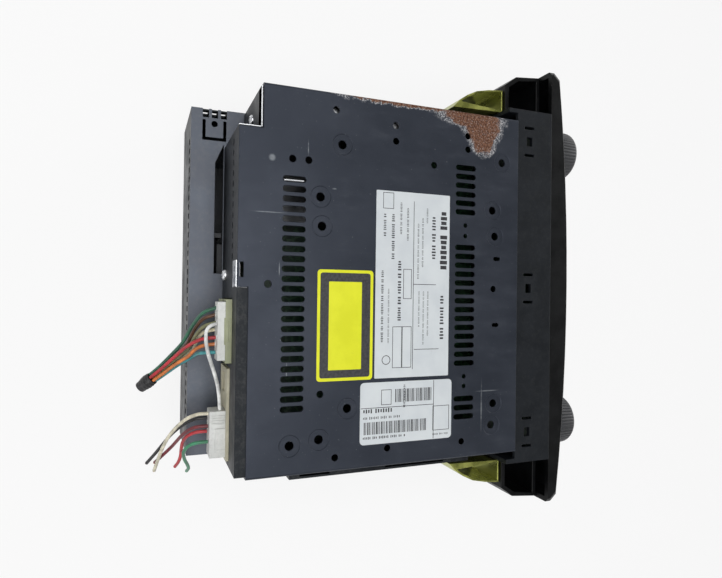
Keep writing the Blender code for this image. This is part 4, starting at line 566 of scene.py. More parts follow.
def soften(made, width, segments=2, angle_deg=32):
    """Round every sharp edge of an object by modifiers, which leave its mesh as it is."""
    step = made.modifiers.new("soften", "BEVEL")
    step.width = width
    step.segments = segments
    step.limit_method = "ANGLE"
    step.angle_limit = radians(angle_deg)
    step.harden_normals = True
    step.use_clamp_overlap = True


def carry(made, slot, body=BODY, *replaced):
    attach(made, body)
    if replaced:
        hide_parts(*replaced)
    return made


def add_box(shape, low, high):
    corners = [(low[0], low[1]), (high[0], low[1]), (high[0], high[1]), (low[0], high[1])]
    add_rings(shape, [[(x, y, z) for x, y in corners] for z in (low[2], high[2])])


def join_rows(shape, rows):
    """Faces between each closed row of vertices and the next one."""
    for lower, upper in zip(rows, rows[1:]):
        for index in range(len(lower)):
            after = (index + 1) % len(lower)
            shape.faces.new((lower[index], lower[after], upper[after], upper[index]))


def add_rings(shape, rings):
    """A closed body from rings of points, with a flat face on its first and last ring."""
    rows = [[shape.verts.new(point) for point in ring] for ring in rings]
    shape.faces.new(list(reversed(rows[0])))
    shape.faces.new(rows[-1])
    join_rows(shape, rows)


def ring_round(centre, across, up, radius, sides):
    turns = [2 * pi * side / sides for side in range(sides)]
    return [centre + (across * cos(turn) + up * sin(turn)) * radius for turn in turns]


def add_tube(shape, points, radius, sides):
    """A round bar along a few points."""
    points = [Vector(point) for point in points]
    rings = []
    for index, point in enumerate(points):
        before, after = points[max(index - 1, 0)], points[min(index + 1, len(points) - 1)]
        direction = (after - before).normalized()
        across = direction.cross(Vector((0.3, 0.2, 1.0))).normalized()
        rings.append(ring_round(point, across, across.cross(direction), radius, sides))
    add_rings(shape, rings)


def add_turned(shape, base, axis, profile, sides):
    """Turn a profile of (distance along the axis, radius) about an axis through a point."""
    axis = Vector(axis).normalized()
    across = axis.orthogonal().normalized()
    up = axis.cross(across)
    add_rings(shape, [ring_round(Vector(base) + axis * along, across, up, radius, sides)
                      for along, radius in profile])


def arc(x, y, radius, start_deg, end_deg, steps):
    """Points on an arc, with both of its ends."""
    turns = [radians(start_deg + (end_deg - start_deg) * index / steps) for index in range(steps + 1)]
    return [(x + radius * cos(turn), y + radius * sin(turn)) for turn in turns]


def circle(x, y, radius, sides=28):
    return arc(x, y, radius, 0, 360, sides)[:-1]


def stadium(x, y, half_width, half_length, steps=7):
    """A slot along Y with round ends."""
    tip = half_length - half_width
    return arc(x, y + tip, half_width, 0, 180, steps) + arc(x, y - tip, half_width, 180, 360, steps)


def rounded(low, high, radius, steps=5):
    """A rectangle with round corners."""
    (x0, x1), (y0, y1) = ((low[axis] + radius, high[axis] - radius) for axis in (0, 1))
    middles = ((x1, y1, 0), (x0, y1, 90), (x0, y0, 180), (x1, y0, 270))
    return [point for x, y, start in middles for point in arc(x, y, radius, start, start + 90, steps)]


def offset_loop(points, distance):
    """A counterclockwise loop moved outwards by a distance."""
    moved = []
    count = len(points)
    for index in range(count):
        before, here, after = (Vector(points[(index + step) % count]) for step in (-1, 0, 1))
        first, second = (here - before).normalized(), (after - here).normalized()
        normals = Vector((first.y, -first.x)), Vector((second.y, -second.x))
        middle = (normals[0] + normals[1]).normalized()
        moved.append(tuple(here + middle * distance / max(0.35, middle.dot(normals[0]))))
    return moved


def fill_between(shape, outer, holes, z):
    """A flat face with holes at a height, from rows of vertices that lie there."""
    edges = []
    for row in [outer, *holes]:
        for index in range(len(row)):
            pair = (row[index], row[(index + 1) % len(row)])
            edges.append(shape.edges.get(pair) or shape.edges.new(pair))
    bmesh.ops.triangle_fill(shape, use_beauty=True, edges=edges, normal=(0, 0, 1))


def punched_plate(shape, outline, holes, top, thick, soft=0.0002, keep_x=None):
    """A plate with softened edges.

    Each hole is (loop, steps), and each step of its edge is (outset, depth under the top). Points whose X
    is keep_x stay there, where a flange joins on.
    """
    def row(loop, outset, depth):
        moved = offset_loop(loop, outset)
        if keep_x is not None:
            moved = [(x if abs(abs(x0) - keep_x) > 1e-6 else x0, y) for (x, y), (x0, _) in zip(moved, loop)]
        return [shape.verts.new((x, y, top - depth)) for x, y in moved]

    rim = [row(outline, *step) for step in ((-soft, 0), (0, soft), (0, thick - soft), (-soft, thick))]
    join_rows(shape, rim)
    tops, bottoms = [], []
    for loop, steps in holes:
        rows = [row(loop, outset, depth) for outset, depth in steps]
        join_rows(shape, rows)
        tops.append(rows[0])
        bottoms.append(rows[-1])
    fill_between(shape, rim[0], tops, top)
    fill_between(shape, rim[-1], bottoms, top - thick)


# Top cover, in metres
COVER_TOP = 0.09985
COVER_THICK = 0.0010
COVER_HALF = 0.0900
BEND_RADIUS = 0.0012
COVER_FRONT_Y = -0.0750
NOTCH_X = 0.0700
NOTCH_Y = 0.0650
NOTCH_GAP = 0.0009
STEP_X = -0.0033
STEP_Y = 0.0700
FLANGE_DROP = 0.0110
FLANGE_SOFT = 0.0002
SLOT_PITCH = 0.00462
SLOT_HALF_WIDTH = 0.0014
REAR_SLOT_COUNT = 24
REAR_SLOT_X, REAR_SLOT_Y, REAR_SLOT_HALF_LENGTH = 0.0470, 0.0493, 0.00555
FRONT_SLOT_X, FRONT_SLOT_Y, FRONT_SLOT_HALF_LENGTH = 0.0607, -0.0423, 0.00605
DOT_RADIUS, DOT_SIDES = 0.0012, 16
RING_HOLE_RADIUS, RING_HOLE_SIDES = 0.0021, 36
SCREW_HOLE_RADIUS, SCREW_HOLE_SIDES = 0.0017, 20
KEYHOLE_HALVES = (0.00105, 0.00215)
CATCH_SLOT = ((0.0012, 0.0722), (0.0080, 0.0738))
CATCH_SLOT_CORNER = 0.0003
HOLE_SOFT = 0.00018
RING_SHARES = ((0.728, 0.347), (0.442, 0.488), (0.289, 0.476), (-0.674, 0.293), (-0.827, 0.480),
               (-0.847, 0.668), (0.728, -0.863), (0.440, -0.787), (0.287, -0.809), (-0.700, -0.808),
               (-0.826, -0.792))
SCREW_HOLE_SHARES = ((0.627, 0.672), (0.627, 0.569), (0.909, 0.391), (-0.019, 0.815), (-0.590, 0.477),
                     (-0.928, 0.373), (-0.904, 0.011), (0.867, -0.025), (0.781, -0.027), (0.671, -0.313),
                     (0.861, -0.577), (0.783, -0.579), (-0.906, -0.549), (-0.024, -0.797))
KEYHOLE_SHARES = ((0.154, -0.824), (-0.237, -0.817))
FRONT_SLOT_STEPS = (*range(6), *range(9, 23), *range(26, 29))
FRONT_DOT_STEPS = (6.5, 7.7, 23.5, 24.6)
RING_OUTSET = 0.0031
RING_SLOPE = 0.0004
RING_SINK = 0.00045


def on_cover(shares):
    return [(across * COVER_HALF, along * -COVER_FRONT_Y) for across, along in shares]


def cover_holes():
    """Every hole of the cover with the steps of its edge, from the top face to the bottom one."""
    plain = ((HOLE_SOFT, 0), (0, HOLE_SOFT), (0, COVER_THICK))
    sunk = ((RING_OUTSET, 0), (RING_OUTSET - RING_SLOPE / 3, RING_SINK * 0.25),
            (RING_OUTSET - RING_SLOPE, RING_SINK), (HOLE_SOFT, RING_SINK), (0, RING_SINK + HOLE_SOFT),
            (0, RING_SINK + COVER_THICK), (RING_OUTSET - RING_SLOPE, RING_SINK + COVER_THICK),
            (RING_OUTSET, COVER_THICK))
    for step in range(REAR_SLOT_COUNT):
        x = REAR_SLOT_X - step * SLOT_PITCH
        yield stadium(x, REAR_SLOT_Y, SLOT_HALF_WIDTH, REAR_SLOT_HALF_LENGTH), plain
    for step in FRONT_SLOT_STEPS:
        x = FRONT_SLOT_X - step * SLOT_PITCH
        yield stadium(x, FRONT_SLOT_Y, SLOT_HALF_WIDTH, FRONT_SLOT_HALF_LENGTH), plain
    for step in FRONT_DOT_STEPS:
        yield circle(FRONT_SLOT_X - step * SLOT_PITCH, FRONT_SLOT_Y, DOT_RADIUS, DOT_SIDES), plain
    for x, y in on_cover(RING_SHARES):
        yield circle(x, y, RING_HOLE_RADIUS, RING_HOLE_SIDES), sunk
    for x, y in on_cover(SCREW_HOLE_SHARES):
        yield circle(x, y, SCREW_HOLE_RADIUS, SCREW_HOLE_SIDES), plain
    for x, y in on_cover(KEYHOLE_SHARES):
        yield stadium(x, y, *KEYHOLE_HALVES), plain
    yield rounded(*CATCH_SLOT, CATCH_SLOT_CORNER, 2), plain


def add_flange(shape, side, front, rear):
    """A side flange with its rounded fold, run along Y."""
    edge, inside = COVER_HALF - BEND_RADIUS, COVER_HALF - COVER_THICK
    low = COVER_TOP - FLANGE_DROP
    outer, inner = (arc(edge, COVER_TOP - BEND_RADIUS, radius, 90, 0, steps)
                    for radius, steps in ((BEND_RADIUS, 6), (BEND_RADIUS - COVER_THICK, 3)))
    profile = [*outer, (COVER_HALF, low + FLANGE_SOFT), (COVER_HALF - FLANGE_SOFT, low),
               (inside + FLANGE_SOFT, low), (inside, low + FLANGE_SOFT), *reversed(inner)]
    add_rings(shape, [[(side * x, y, z) for x, z in profile] for y in (front, rear)])


def make_cover():
    edge = COVER_HALF - BEND_RADIUS
    outline = [(-edge, COVER_FRONT_Y), (edge, COVER_FRONT_Y), (edge, NOTCH_Y - NOTCH_GAP),
               (NOTCH_X - NOTCH_GAP, NOTCH_Y - NOTCH_GAP), (NOTCH_X - NOTCH_GAP, REAR_Y),
               (STEP_X, REAR_Y), (STEP_X, STEP_Y), (-edge, STEP_Y)]
    shape = bmesh.new()
    punched_plate(shape, outline, list(cover_holes()), COVER_TOP, COVER_THICK, keep_x=edge)
    add_flange(shape, 1, COVER_FRONT_Y, NOTCH_Y - NOTCH_GAP)
    add_flange(shape, -1, COVER_FRONT_Y, STEP_Y)
    made = new_object("cover_plate", shape, looks["cover_paint"], smooth_deg=24)
    carry(made, "cover_paint", BODY, "top_cover")


# Stickers: plain film with generic bars and boxes. Places are in millimetres on the cover's plane, and a
# box is (first X, last X, first Y, last Y)
FILM = 0.00012
FILM_SOFT = 0.00003
INK = 0.00002
INK_SINK = 0.00001
GOLDEN = 0.618034
FILMS = (
    ("large_sticker", "white_film", (-46.9, 45.35, -32.7, 8.3), 0.5),
    ("small_sticker", "white_film", (-78.85, -48.75, -34.85, 15.55), 2.0),
    ("yellow_sticker", "yellow_film", (-47.2, 5.65, 9.45, 37.75), 1.6),
)
BAND, BAND_CORNER = (-45.7, 4.2, 10.9, 36.3), 1.2
PANEL, PANEL_CORNER = (-42.0, 0.0, 15.35, 32.05), 0.4
# Lines of print that run along X: (middle, letter height, start, end, weight)
LINES_ALONG_X = (
    (3.6, 1.5, 34.0, 22.5, 0.40), (-0.9, 1.7, 34.0, 9.5, 0.50), (-5.2, 1.2, 40.0, 24.0, 0.30),
    (-4.6, 2.0, 11.0, -19.0, 0.55), (-8.9, 1.2, 37.5, 21.0, 0.30), (-14.8, 1.0, 30.0, 2.0, 0.22),
    (-17.3, 1.0, 33.0, 8.0, 0.22), (-19.8, 1.0, 38.0, 30.0, 0.22), (-23.6, 2.3, 34.0, 12.0, 0.50),
    (-29.3, 4.2, 37.0, 4.2, 0.85), (4.6, 1.4, 6.0, -30.0, 0.45), (1.2, 0.9, -3.0, -31.0, 0.22),
    (-15.5, 0.9, -4.0, -22.0, 0.22), (-18.0, 0.9, -4.0, -31.0, 0.22), (-20.5, 0.9, -4.0, -27.0, 0.22),
    (-28.6, 2.3, -6.0, -31.0, 0.50), (-8.0, 1.2, -50.5, -62.0, 0.30),
)
LINES_ALONG_Y = (
    (-62.6, 2.2, 14.0, -2.0, 0.50), (-66.0, 1.4, 14.0, -6.0, 0.30), (-75.6, 1.4, 14.0, -9.0, 0.45),
    (-76.4, 1.0, -24.0, -33.0, 0.25),
)
PRINT_FRAMES = (
    (44.5, 36.5, 4.7, -1.1), (7.0, -7.9, -6.7, -11.3), (-21.6, -42.1, -1.1, -6.3),
    (-21.6, -42.1, -6.3, -11.5), (-52.5, -60.0, -1.0, 4.5), (-62.0, -74.5, -24.0, -33.5),
)
PRINT_RULES = (
    (41.0, -43.0, -12.4, -12.1), (-0.4, -0.7, -12.4, -25.1), (-33.0, -33.3, -13.0, -27.0),
    (-49.0, -78.6, -24.6, -24.3), (-61.0, -61.3, -24.3, 15.2),
)
# Rows of bars of uneven width: (first X, last X, first Y, last Y), and their pitch
BAR_ROWS = ((-52.5, -59.0, -3.0, -23.0), (-68.0, -74.0, 13.5, -20.0))
BAR_PITCH = 0.9
RULE_WIDTH = 0.28
RING_MARK = (-38.0, 2.2)
RING_MARK_RADII = (2.3, 1.95)
# Words and letters, in letter heights
SHORTEST_WORD, WORD_SPREAD, WORD_GAP, LEAST_REST = 1.3, 3.2, 0.55, 0.8
LETTER_PITCH, LETTER_START, THIN_LETTER, BOLDER_LETTER = 0.62, 0.12, 0.3, 0.5
LOW_LETTER, LETTER_RISE = 0.32, 0.18


def corners(box):
    """The low and the high corner of a box, in metres."""
    (x0, x1), (y0, y1) = sorted(box[:2]), sorted(box[2:])
    return (x0 * MM, y0 * MM), (x1 * MM, y1 * MM)


def make_film(name, box, radius, look, top, thick, holes=()):
    shape = bmesh.new()
    cuts = [(hole, ((0, 0), (0, thick))) for hole in holes]
    outline = rounded(*corners(box), radius * MM)
    punched_plate(shape, outline, cuts, top, thick, soft=min(thick * 0.3, FILM_SOFT))
    carry(new_object(name, shape, looks[look], smooth_deg=40), "cover_paint")


def word_spans(start, end, height, seed):
    """Word-like blocks between two places along a line, with gaps, from a fixed rule."""
    direction = 1 if end > start else -1
    place, count = start, seed
    while abs(end - place) > height * LEAST_REST:
        count += 1
        length = height * (SHORTEST_WORD + WORD_SPREAD * ((count * GOLDEN) % 1.0))
        stop = place + direction * min(length, abs(end - place))
        yield place, stop
        place = stop + direction * height * WORD_GAP
        if (end - place) * direction <= 0:
            return


def print_bar(shape, box, top):
    low, high = corners(box)
    add_box(shape, (*low, top - INK_SINK), (*high, top + INK))


def print_frame(shape, box, top):
    (x0, x1), (y0, y1) = sorted(box[:2]), sorted(box[2:])
    print_bar(shape, (x0, x0 + RULE_WIDTH, y0, y1), top)
    print_bar(shape, (x1 - RULE_WIDTH, x1, y0, y1), top)
    print_bar(shape, (x0 + RULE_WIDTH, x1 - RULE_WIDTH, y0, y0 + RULE_WIDTH), top)
    print_bar(shape, (x0 + RULE_WIDTH, x1 - RULE_WIDTH, y1 - RULE_WIDTH, y1), top)


def print_line(shape, line, along_x, top):
    """One line of word-like blocks, running along X or along Y."""
    middle, height, start, end, weight = line
    for index, (low, high) in enumerate(word_spans(start, end, height, int(abs(middle * 7)))):
        parts = max(1, round(abs(high - low) / (height * LETTER_PITCH)))
        for part in range(parts):
            a = low + (high - low) * (part + LETTER_START) / parts
            b = a + (high - low) * (THIN_LETTER + BOLDER_LETTER * weight) / parts
            rise = height * (LOW_LETTER + LETTER_RISE * (((part + 3 * index) * GOLDEN) % 1.0))
            across = (middle - rise, middle + rise)
            print_bar(shape, (a, b, *across) if along_x else (*across, a, b), top)


def print_bar_row(shape, box, top):
    first, last, place, end = box
    count = 0
    while place > end:
        count += 1
        width = BAR_PITCH * (0.25 + 0.5 * ((count * GOLDEN) % 1.0))
        print_bar(shape, (first, last, place, place - width), top)
        place -= BAR_PITCH


def make_labels():
    top = COVER_TOP + FILM
    for name, look, box, radius in FILMS:
        make_film(name, box, radius, look, top, FILM)
    panel = rounded(*corners(PANEL), PANEL_CORNER * MM)
    make_film("sticker_band", BAND, BAND_CORNER, "print_ink", top + INK, INK, [panel])
    shape = bmesh.new()
    for line in LINES_ALONG_X:
        print_line(shape, line, True, top)
    for line in LINES_ALONG_Y:
        print_line(shape, line, False, top)
    for box in PRINT_FRAMES:
        print_frame(shape, box, top)
    for box in PRINT_RULES:
        print_bar(shape, box, top)
    for box in BAR_ROWS:
        print_bar_row(shape, box, top)
    x, y = (value * MM for value in RING_MARK)
    join_rows(shape, [[shape.verts.new((*point, top + INK)) for point in circle(x, y, radius * MM)]
                      for radius in RING_MARK_RADII])
    carry(new_object("sticker_print", shape, looks["print_ink"], smooth_deg=20), "cover_paint")


# Cut edges and tabs of bright steel, partly painted glints, and the fold at the ledge's end: boxes as (low
# corner, high corner)
EDGE_TOP = 0.0993
EDGE_SOFT = 0.0001
FOLD_SOFT = 0.0002
STEEL_BARS = (
    ("notch_edges", (((0.0698, 0.0645, 0.0925), (0.0886, 0.0650, EDGE_TOP)),
                     ((0.0695, 0.0650, 0.0925), (0.0700, 0.0750, EDGE_TOP)))),
    ("catch_edges", (((-0.0034, 0.0751, 0.0900), (0.0088, 0.0756, 0.0996)),
                     ((-0.0034, 0.0704, 0.0940), (-0.0029, 0.0756, 0.0996)),
                     ((0.0004, 0.0738, 0.0940), (0.0088, 0.0742, 0.0998)))),
    # The first two tabs sit under cover holes as painted glints for light that shows through them; the third
    # is the bright metal in the first rear slot
    ("bright_tabs_painted_glints", (((0.0790, 0.0245, 0.0960), (0.0835, 0.0330, 0.0966)),
                     ((0.0760, -0.0050, 0.0960), (0.0800, 0.0000, 0.0966)),
                     ((0.0463, 0.0445, 0.0950), (0.0470, 0.0540, 0.0985)))),
)
LEDGE_FOLD = (((0.0889, 0.0740, 0.0470), (0.0897, 0.0915, 0.0508)),)
# Screw heads that face the rear: (name, middle of the seat, radius, height)
SCREWS = (
    ("rear_wall_screw", (0.0030, 0.0750, 0.0620), 0.0030, 0.0019),
    ("notch_screw", (0.0790, 0.0650, 0.0760), 0.0026, 0.0016),
    ("wing_screw_left", (0.1010, -0.0744, 0.0520), 0.0026, 0.0018),
    ("wing_screw_right", (-0.1010, -0.0744, 0.0520), 0.0026, 0.0018),
)
SCREW_SIDES = 32
# The head's dome as shares of its height and radius, and its cross recess
SCREW_DOME = ((0.0, 1.0), (0.25, 1.0), (0.55, 0.93), (0.80, 0.76), (0.95, 0.52), (1.0, 0.30))
RECESS_REACH = 0.6
RECESS_ARM = 0.955
RECESS_DROP = 0.55
RECESS_FLOOR = 0.35


def make_bars(name, boxes, slot, softness, look=None, body=BODY):
    shape = bmesh.new()
    for low, high in boxes:
        add_box(shape, low, high)
    carry(new_object(name, shape, looks[look or slot], bevel=softness), slot, body)


def make_screw(name, place, radius, height):
    """A domed screw head with a cross recess, standing on a surface that faces the rear."""
    axis = Vector((0, 1, 0))
    across = axis.orthogonal().normalized()
    up = axis.cross(across)
    shape = bmesh.new()
    rows = []
    for along, share in SCREW_DOME:
        row = []
        for side in range(SCREW_SIDES):
            turn = 2 * pi * side / SCREW_SIDES
            recessed = max(abs(cos(turn)), abs(sin(turn))) > RECESS_ARM and share < RECESS_REACH
            rise = axis * (along - (RECESS_DROP if recessed else 0.0)) * height
            out = (across * cos(turn) + up * sin(turn)) * share * radius
            row.append(shape.verts.new(Vector(place) + rise + out))
        rows.append(row)
    join_rows(shape, rows)
    centre = shape.verts.new(Vector(place) + axis * height * RECESS_FLOOR)
    for side in range(SCREW_SIDES):
        shape.faces.new((rows[-1][side], rows[-1][(side + 1) % SCREW_SIDES], centre))
    shape.faces.new(list(reversed(rows[0])))
    carry(new_object(name, shape, looks["bright_steel"], smooth_deg=40), "bright_steel")


def make_rear_details():
    for name, boxes in STEEL_BARS:
        make_bars(name, boxes, "bright_steel", EDGE_SOFT)
    for screw in SCREWS:
        make_screw(*screw)
    make_bars("ledge_edge", LEDGE_FOLD, "case_paint", FOLD_SOFT)
    make_plug_details()


# Details of the plugs, in metres from the plug's own box
LATCH_INSET = (0.0075, 0.0035, 0.0030)
LATCH_HEIGHT = 0.0009
LATCH_RIB_INSET = (0.0090, 0.0050)
LATCH_RIB = (3, 0.0016, 0.0008, 0.0014)
COLLAR_PROFILE = ((-0.0004, 0.0014), (0.0002, 0.0014), (0.0004, 0.0012), (0.0004, 0.00095),
                  (-0.0004, 0.00095))
COLLAR_SIDES = 16
COVER_PAD = (0.0040, 0.0140, 0.0030, 0.0025, 0.0008)
PLUG_RIB_INSET = (0.0020, 0.0020, 0.0010)
PLUG_RIB = (4, 0.0012, 0.0006, 0.0005)


def make_plug_details():
    """Latches, ribs and wire collars of the two plugs."""
    low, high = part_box("power_plug")
    aside, before, behind = LATCH_INSET
    boxes = [((low.x + aside, low.y + before, high.z),
              (high.x - aside, high.y - behind, high.z + LATCH_HEIGHT))]
    aside, behind = LATCH_RIB_INSET
    count, pitch, width, rise = LATCH_RIB
    for step in range(count):
        y = high.y - behind - step * pitch
        boxes.append(((low.x + aside, y, high.z + LATCH_HEIGHT), (high.x - aside, y + width, high.z + rise)))
    make_bars("power_plug_latch", boxes, "socket_olive", FOLD_SOFT)
    shape = bmesh.new()
    for index in range(len(POWER_WIRES)):
        x, z = pin_place(index)
        add_turned(shape, (x, high.y, z), (0, 1, 0), COLLAR_PROFILE, COLLAR_SIDES)
    carry(new_object("power_plug_collars", shape, looks["plug_white"]), "plug_white")
    low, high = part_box("accessory_plug")
    first, last, before, behind, rise = COVER_PAD
    boxes = [((low.x + first, low.y + before, high.z), (low.x + last, high.y - behind, high.z + rise))]
    aside, before, behind = PLUG_RIB_INSET
    count, pitch, width, rise = PLUG_RIB
    for step in range(count):
        x = high.x - aside - step * pitch
        boxes.append(((x - width, low.y + before, high.z), (x, high.y - behind, high.z + rise)))
    make_bars("accessory_plug_latch", boxes, "plug_white", FOLD_SOFT)


# Front: ribbed knobs with a pointer, and the keys' legends, in metres
KNOB_RIBS = 48
KNOB_RIB_DEPTH = 0.00035
STEPS_PER_RIB = 6
KNOB_WALL = 0.0030
KNOB_HOLLOW = 0.0090
# The knob's outline from its back and from its face: (distance, radius under the full one, rib share)
KNOB_BACK = ((0, KNOB_WALL, 0), (0, 0.0004, 1), (0.0004, 0, 1))
KNOB_FACE = ((0.0022, 0.0007, 1), (0.0014, 0.0010, 0.4), (0.0006, 0.0016, 0), (0.00015, 0.0024, 0),
             (0, 0.0034, 0), (0.0001, 0.0044, 0), (0.0006, 0.0056, 0))
DISH_DEPTH = 0.0008
DISH_SHARE = 0.3
POINTER_HALF_WIDTH = 0.0004
POINTER_DEPTHS = (0.0001, 0.0011)
POINTER_INSETS = (0.0070, 0.0036)
POINTER_SOFT = 0.00015
MARK_HALF = (0.0035, 0.0004)
MARK_PROUD = 0.00005
MARK_SUNK = 0.0002
LEGEND_SIZE = 0.0052
LEGEND_OUT = 0.0085
LEGEND_HALF_THICK = 0.00004
ARROW_OUT = 0.013
ARROW_PITCH = 0.0022
ARROW_TIP, ARROW_BACK, ARROW_RISE = 0.0012, -0.0008, 0.0013


def box_and_middle(node_name):
    low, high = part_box(node_name)
    return low, high, (low + high) / 2


def make_knob(node_name):
    """A knob with fine ribs round its side, a dished face and a pointer line."""
    low, high, centre = box_and_middle(node_name)
    radius = (high.x - low.x) / 2
    profile = [(high.y - KNOB_HOLLOW, radius - KNOB_WALL, 0)]
    profile += [(high.y - back, radius - inset, share) for back, inset, share in KNOB_BACK]
    profile += [(low.y + depth, radius - inset, share) for depth, inset, share in KNOB_FACE]
    profile.append((low.y + DISH_DEPTH, radius * DISH_SHARE, 0))
    steps = KNOB_RIBS * STEPS_PER_RIB
    rings = []
    for y, size, share in profile:
        ring = []
        for step in range(steps):
            turn = 2 * pi * step / steps
            reach = size - KNOB_RIB_DEPTH * (0.5 - 0.5 * cos(KNOB_RIBS * turn)) ** 3 * share
            ring.append((centre.x + reach * cos(turn), y, centre.z + reach * sin(turn)))
        rings.append(ring)
    shape = bmesh.new()
    add_rings(shape, rings)
    made = new_object(node_name + "_ribbed", shape, looks["key_plastic"], smooth_deg=35)
    carry(made, "key_plastic", node_name, node_name)
    front, back = POINTER_DEPTHS
    lowest, highest = (centre.z + radius - inset for inset in POINTER_INSETS)
    pointer = ((centre.x - POINTER_HALF_WIDTH, low.y + front, lowest),
               (centre.x + POINTER_HALF_WIDTH, low.y + back, highest))
    make_bars(node_name + "_pointer", [pointer], "white_vinyl", POINTER_SOFT, "legend_ink", node_name)


def make_legend(name, text, place, body):
    curve = bpy.data.curves.new(name, "FONT")
    curve.body = text
    curve.size = LEGEND_SIZE
    curve.extrude = LEGEND_HALF_THICK
    curve.align_x, curve.align_y = "CENTER", "CENTER"
    curve.materials.append(looks["legend_ink"])
    made = bpy.data.objects.new(name, curve)
    bpy.context.scene.collection.objects.link(made)
    made.location = place
    made.rotation_euler = (radians(90), 0, 0)
    carry(made, "white_vinyl", body)


def make_arrows(name, x, y, z, side, body):
    """Two small triangles that point to one side."""
    shape = bmesh.new()
    for step in range(2):
        tip, back = (x + side * (reach + step * ARROW_PITCH) for reach in (ARROW_TIP, ARROW_BACK))
        add_rings(shape, [[(tip, depth, z), (back, depth, z + ARROW_RISE), (back, depth, z - ARROW_RISE)]
                          for depth in (y, y - MARK_PROUD)])
    carry(new_object(name, shape, looks["legend_ink"]), "white_vinyl", body)


def make_front_details():
    for name in ("volume_knob", "tuning_knob"):
        make_knob(name)
    number = 0
    for index in range(1, 4):
        name = f"preset_rocker_{index}"
        low, _, middle = box_and_middle(name)
        for side in (-1, 1):
            number += 1
            place = (middle.x + side * LEGEND_OUT, low.y - MARK_PROUD, middle.z)
            make_legend(f"legend_{number}", str(number), place, name)
    low, _, middle = box_and_middle("seek_rocker")
    for side, word in ((-1, "left"), (1, "right")):
        make_arrows(f"seek_arrow_{word}", middle.x + side * ARROW_OUT, low.y, middle.z, side, "seek_rocker")
    for index in range(1, 5):
        name = f"mode_key_{index}"
        low, _, middle = box_and_middle(name)
        bar = ((middle.x - MARK_HALF[0], low.y - MARK_PROUD, middle.z - MARK_HALF[1]),
               (middle.x + MARK_HALF[0], low.y + MARK_SUNK, middle.z + MARK_HALF[1]))
        make_bars(f"{name}_mark", [bar], "white_vinyl", EDGE_SOFT, "legend_ink", name)


# Studio: a pale floor that curves up into a wall all round, three soft lamps and a soft sky
FLOOR_SHARE = 0.82
WORLD_LEVEL = 0.20
FLOOR_RADIUS = 2.0
BOWL_START = 3.2
BOWL_RADIUS = 1.0
BOWL_STEPS = 10
WALL_TOP = 3.0
STUDIO_SIDES = 64
# Lamps: (name, place, aim, size, power)
LAMPS = (
    ("top_softbox", (0.0, 0.30, 1.30), (0.0, 0.12, 0.0), (1.3, 1.0), 14.0),
    ("front_softbox", (0.6, -1.90, 0.45), (0.0, 0.0, 0.05), (1.4, 0.7), 9.0),
    ("rear_softbox", (-0.9, 1.60, 0.60), (0.0, 0.0, 0.05), (1.0, 0.6), 4.0),
)


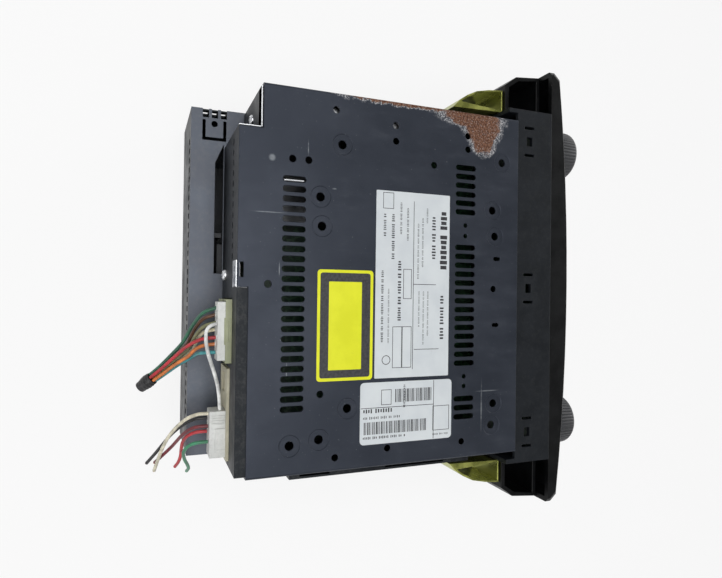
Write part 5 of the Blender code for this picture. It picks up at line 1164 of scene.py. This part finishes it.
def make_studio():
    bowl = arc(BOWL_START, BOWL_RADIUS, BOWL_RADIUS, 270, 360, BOWL_STEPS)
    profile = [(FLOOR_RADIUS, 0.0), *bowl, (BOWL_START + BOWL_RADIUS, WALL_TOP)]
    turns = [2 * pi * side / STUDIO_SIDES for side in range(STUDIO_SIDES)]
    shape = bmesh.new()
    rows = [[shape.verts.new((radius * cos(turn), radius * sin(turn), z)) for turn in turns]
            for radius, z in profile]
    shape.faces.new(rows[0])
    join_rows(shape, rows)
    made = bpy.data.materials.new("studio_floor")
    made.use_nodes = True
    tree = made.node_tree
    tree.nodes.remove(tree.nodes["Principled BSDF"])
    place = node(tree, "TexCoord").outputs["Object"]
    tone = mix(tree, ramp(tree, noise(tree, place, 3.0), 0.3, 0.7), (0.80, 0.80, 0.80), (0.83, 0.83, 0.83))
    plain = node(tree, "BsdfDiffuse", inputs={"Color": tone})
    glow = node(tree, "Emission", inputs={"Color": (1, 1, 1, 1), "Strength": 1.0})
    path = node(tree, "LightPath").outputs
    seen = math_node(tree, "MAXIMUM", path["Is Camera Ray"], path["Is Glossy Ray"])
    seen = math_node(tree, "MAXIMUM", seen, path["Is Transmission Ray"])
    share = math_node(tree, "MULTIPLY", seen, FLOOR_SHARE)
    both = node(tree, "MixShader", inputs={0: share, 1: plain.outputs[0], 2: glow.outputs[0]})
    tree.links.new(both.outputs[0], tree.nodes["Material Output"].inputs["Surface"])
    floor = new_object("studio", shape, made, smooth_deg=60)
    for face in floor.data.polygons:
        if face.normal.z < -0.5:
            floor.data.flip_normals()
            break
    world = bpy.data.worlds.new("sky")
    world.use_nodes = True
    sky = world.node_tree.nodes["Background"]
    sky.inputs["Color"].default_value = (1.0, 1.0, 1.0, 1)
    sky.inputs["Strength"].default_value = WORLD_LEVEL
    bpy.context.scene.world = world
    bpy.context.scene.view_settings.view_transform = "Standard"


def make_lamps():
    for name, place, aim, size, power in LAMPS:
        lamp = bpy.data.lights.new(name, "AREA")
        lamp.shape = "RECTANGLE"
        lamp.size, lamp.size_y = size
        lamp.energy = power
        made = bpy.data.objects.new(name, lamp)
        bpy.context.scene.collection.objects.link(made)
        made.location = place
        made.rotation_euler = (Vector(aim) - Vector(place)).to_track_quat("-Z", "Y").to_euler()


# Nodes inside the case that get a much darker colour than their metal, as painted shade for the inside of the
# case, and how far the edges of the frame's nodes are softened
SHADED_INNER_LOOKS = {"mech_plate": "dull_steel", "spindle_motor": "dull_steel", "sled_motor": "dull_steel",
               "clamp_arm": "dull_steel", "tuner_can": "dull_tin", "heat_sink": "dark_sink"}
EDGE_WIDTHS = {"fascia_panel": 0.0004, "fascia_skirt": 0.0005, "wing_left": 0.0005, "wing_right": 0.0005,
               "power_plug": 0.0003, "accessory_plug": 0.0003}
PLAIN_EDGE = 0.00022
WELD_REACH = 0.00001


def dress_frame():
    """Give every node of the frame its slot's finish, or for the pieces inside the case a darker one as
    painted shade, and softened edges; the wires' nodes are replaced.
    """
    for row in frame["record"]["subparts"]:
        name, slot = row["node"], row["material_slot"]
        if slot not in looks:
            continue
        part = nodes[name]
        part.data.materials.clear()
        # Pieces inside the case get a darker colour than their metal, as painted shade
        part.data.materials.append(looks[SHADED_INNER_LOOKS.get(name, slot)])
        weld = part.modifiers.new("weld", "WELD")
        weld.merge_threshold = WELD_REACH
        soften(part, EDGE_WIDTHS.get(name, PLAIN_EDGE))


make_camera()
looks = make_looks()
make_cords()
make_studio()
make_lamps()
make_cover()
make_labels()
make_rear_details()
make_front_details()
dress_frame()
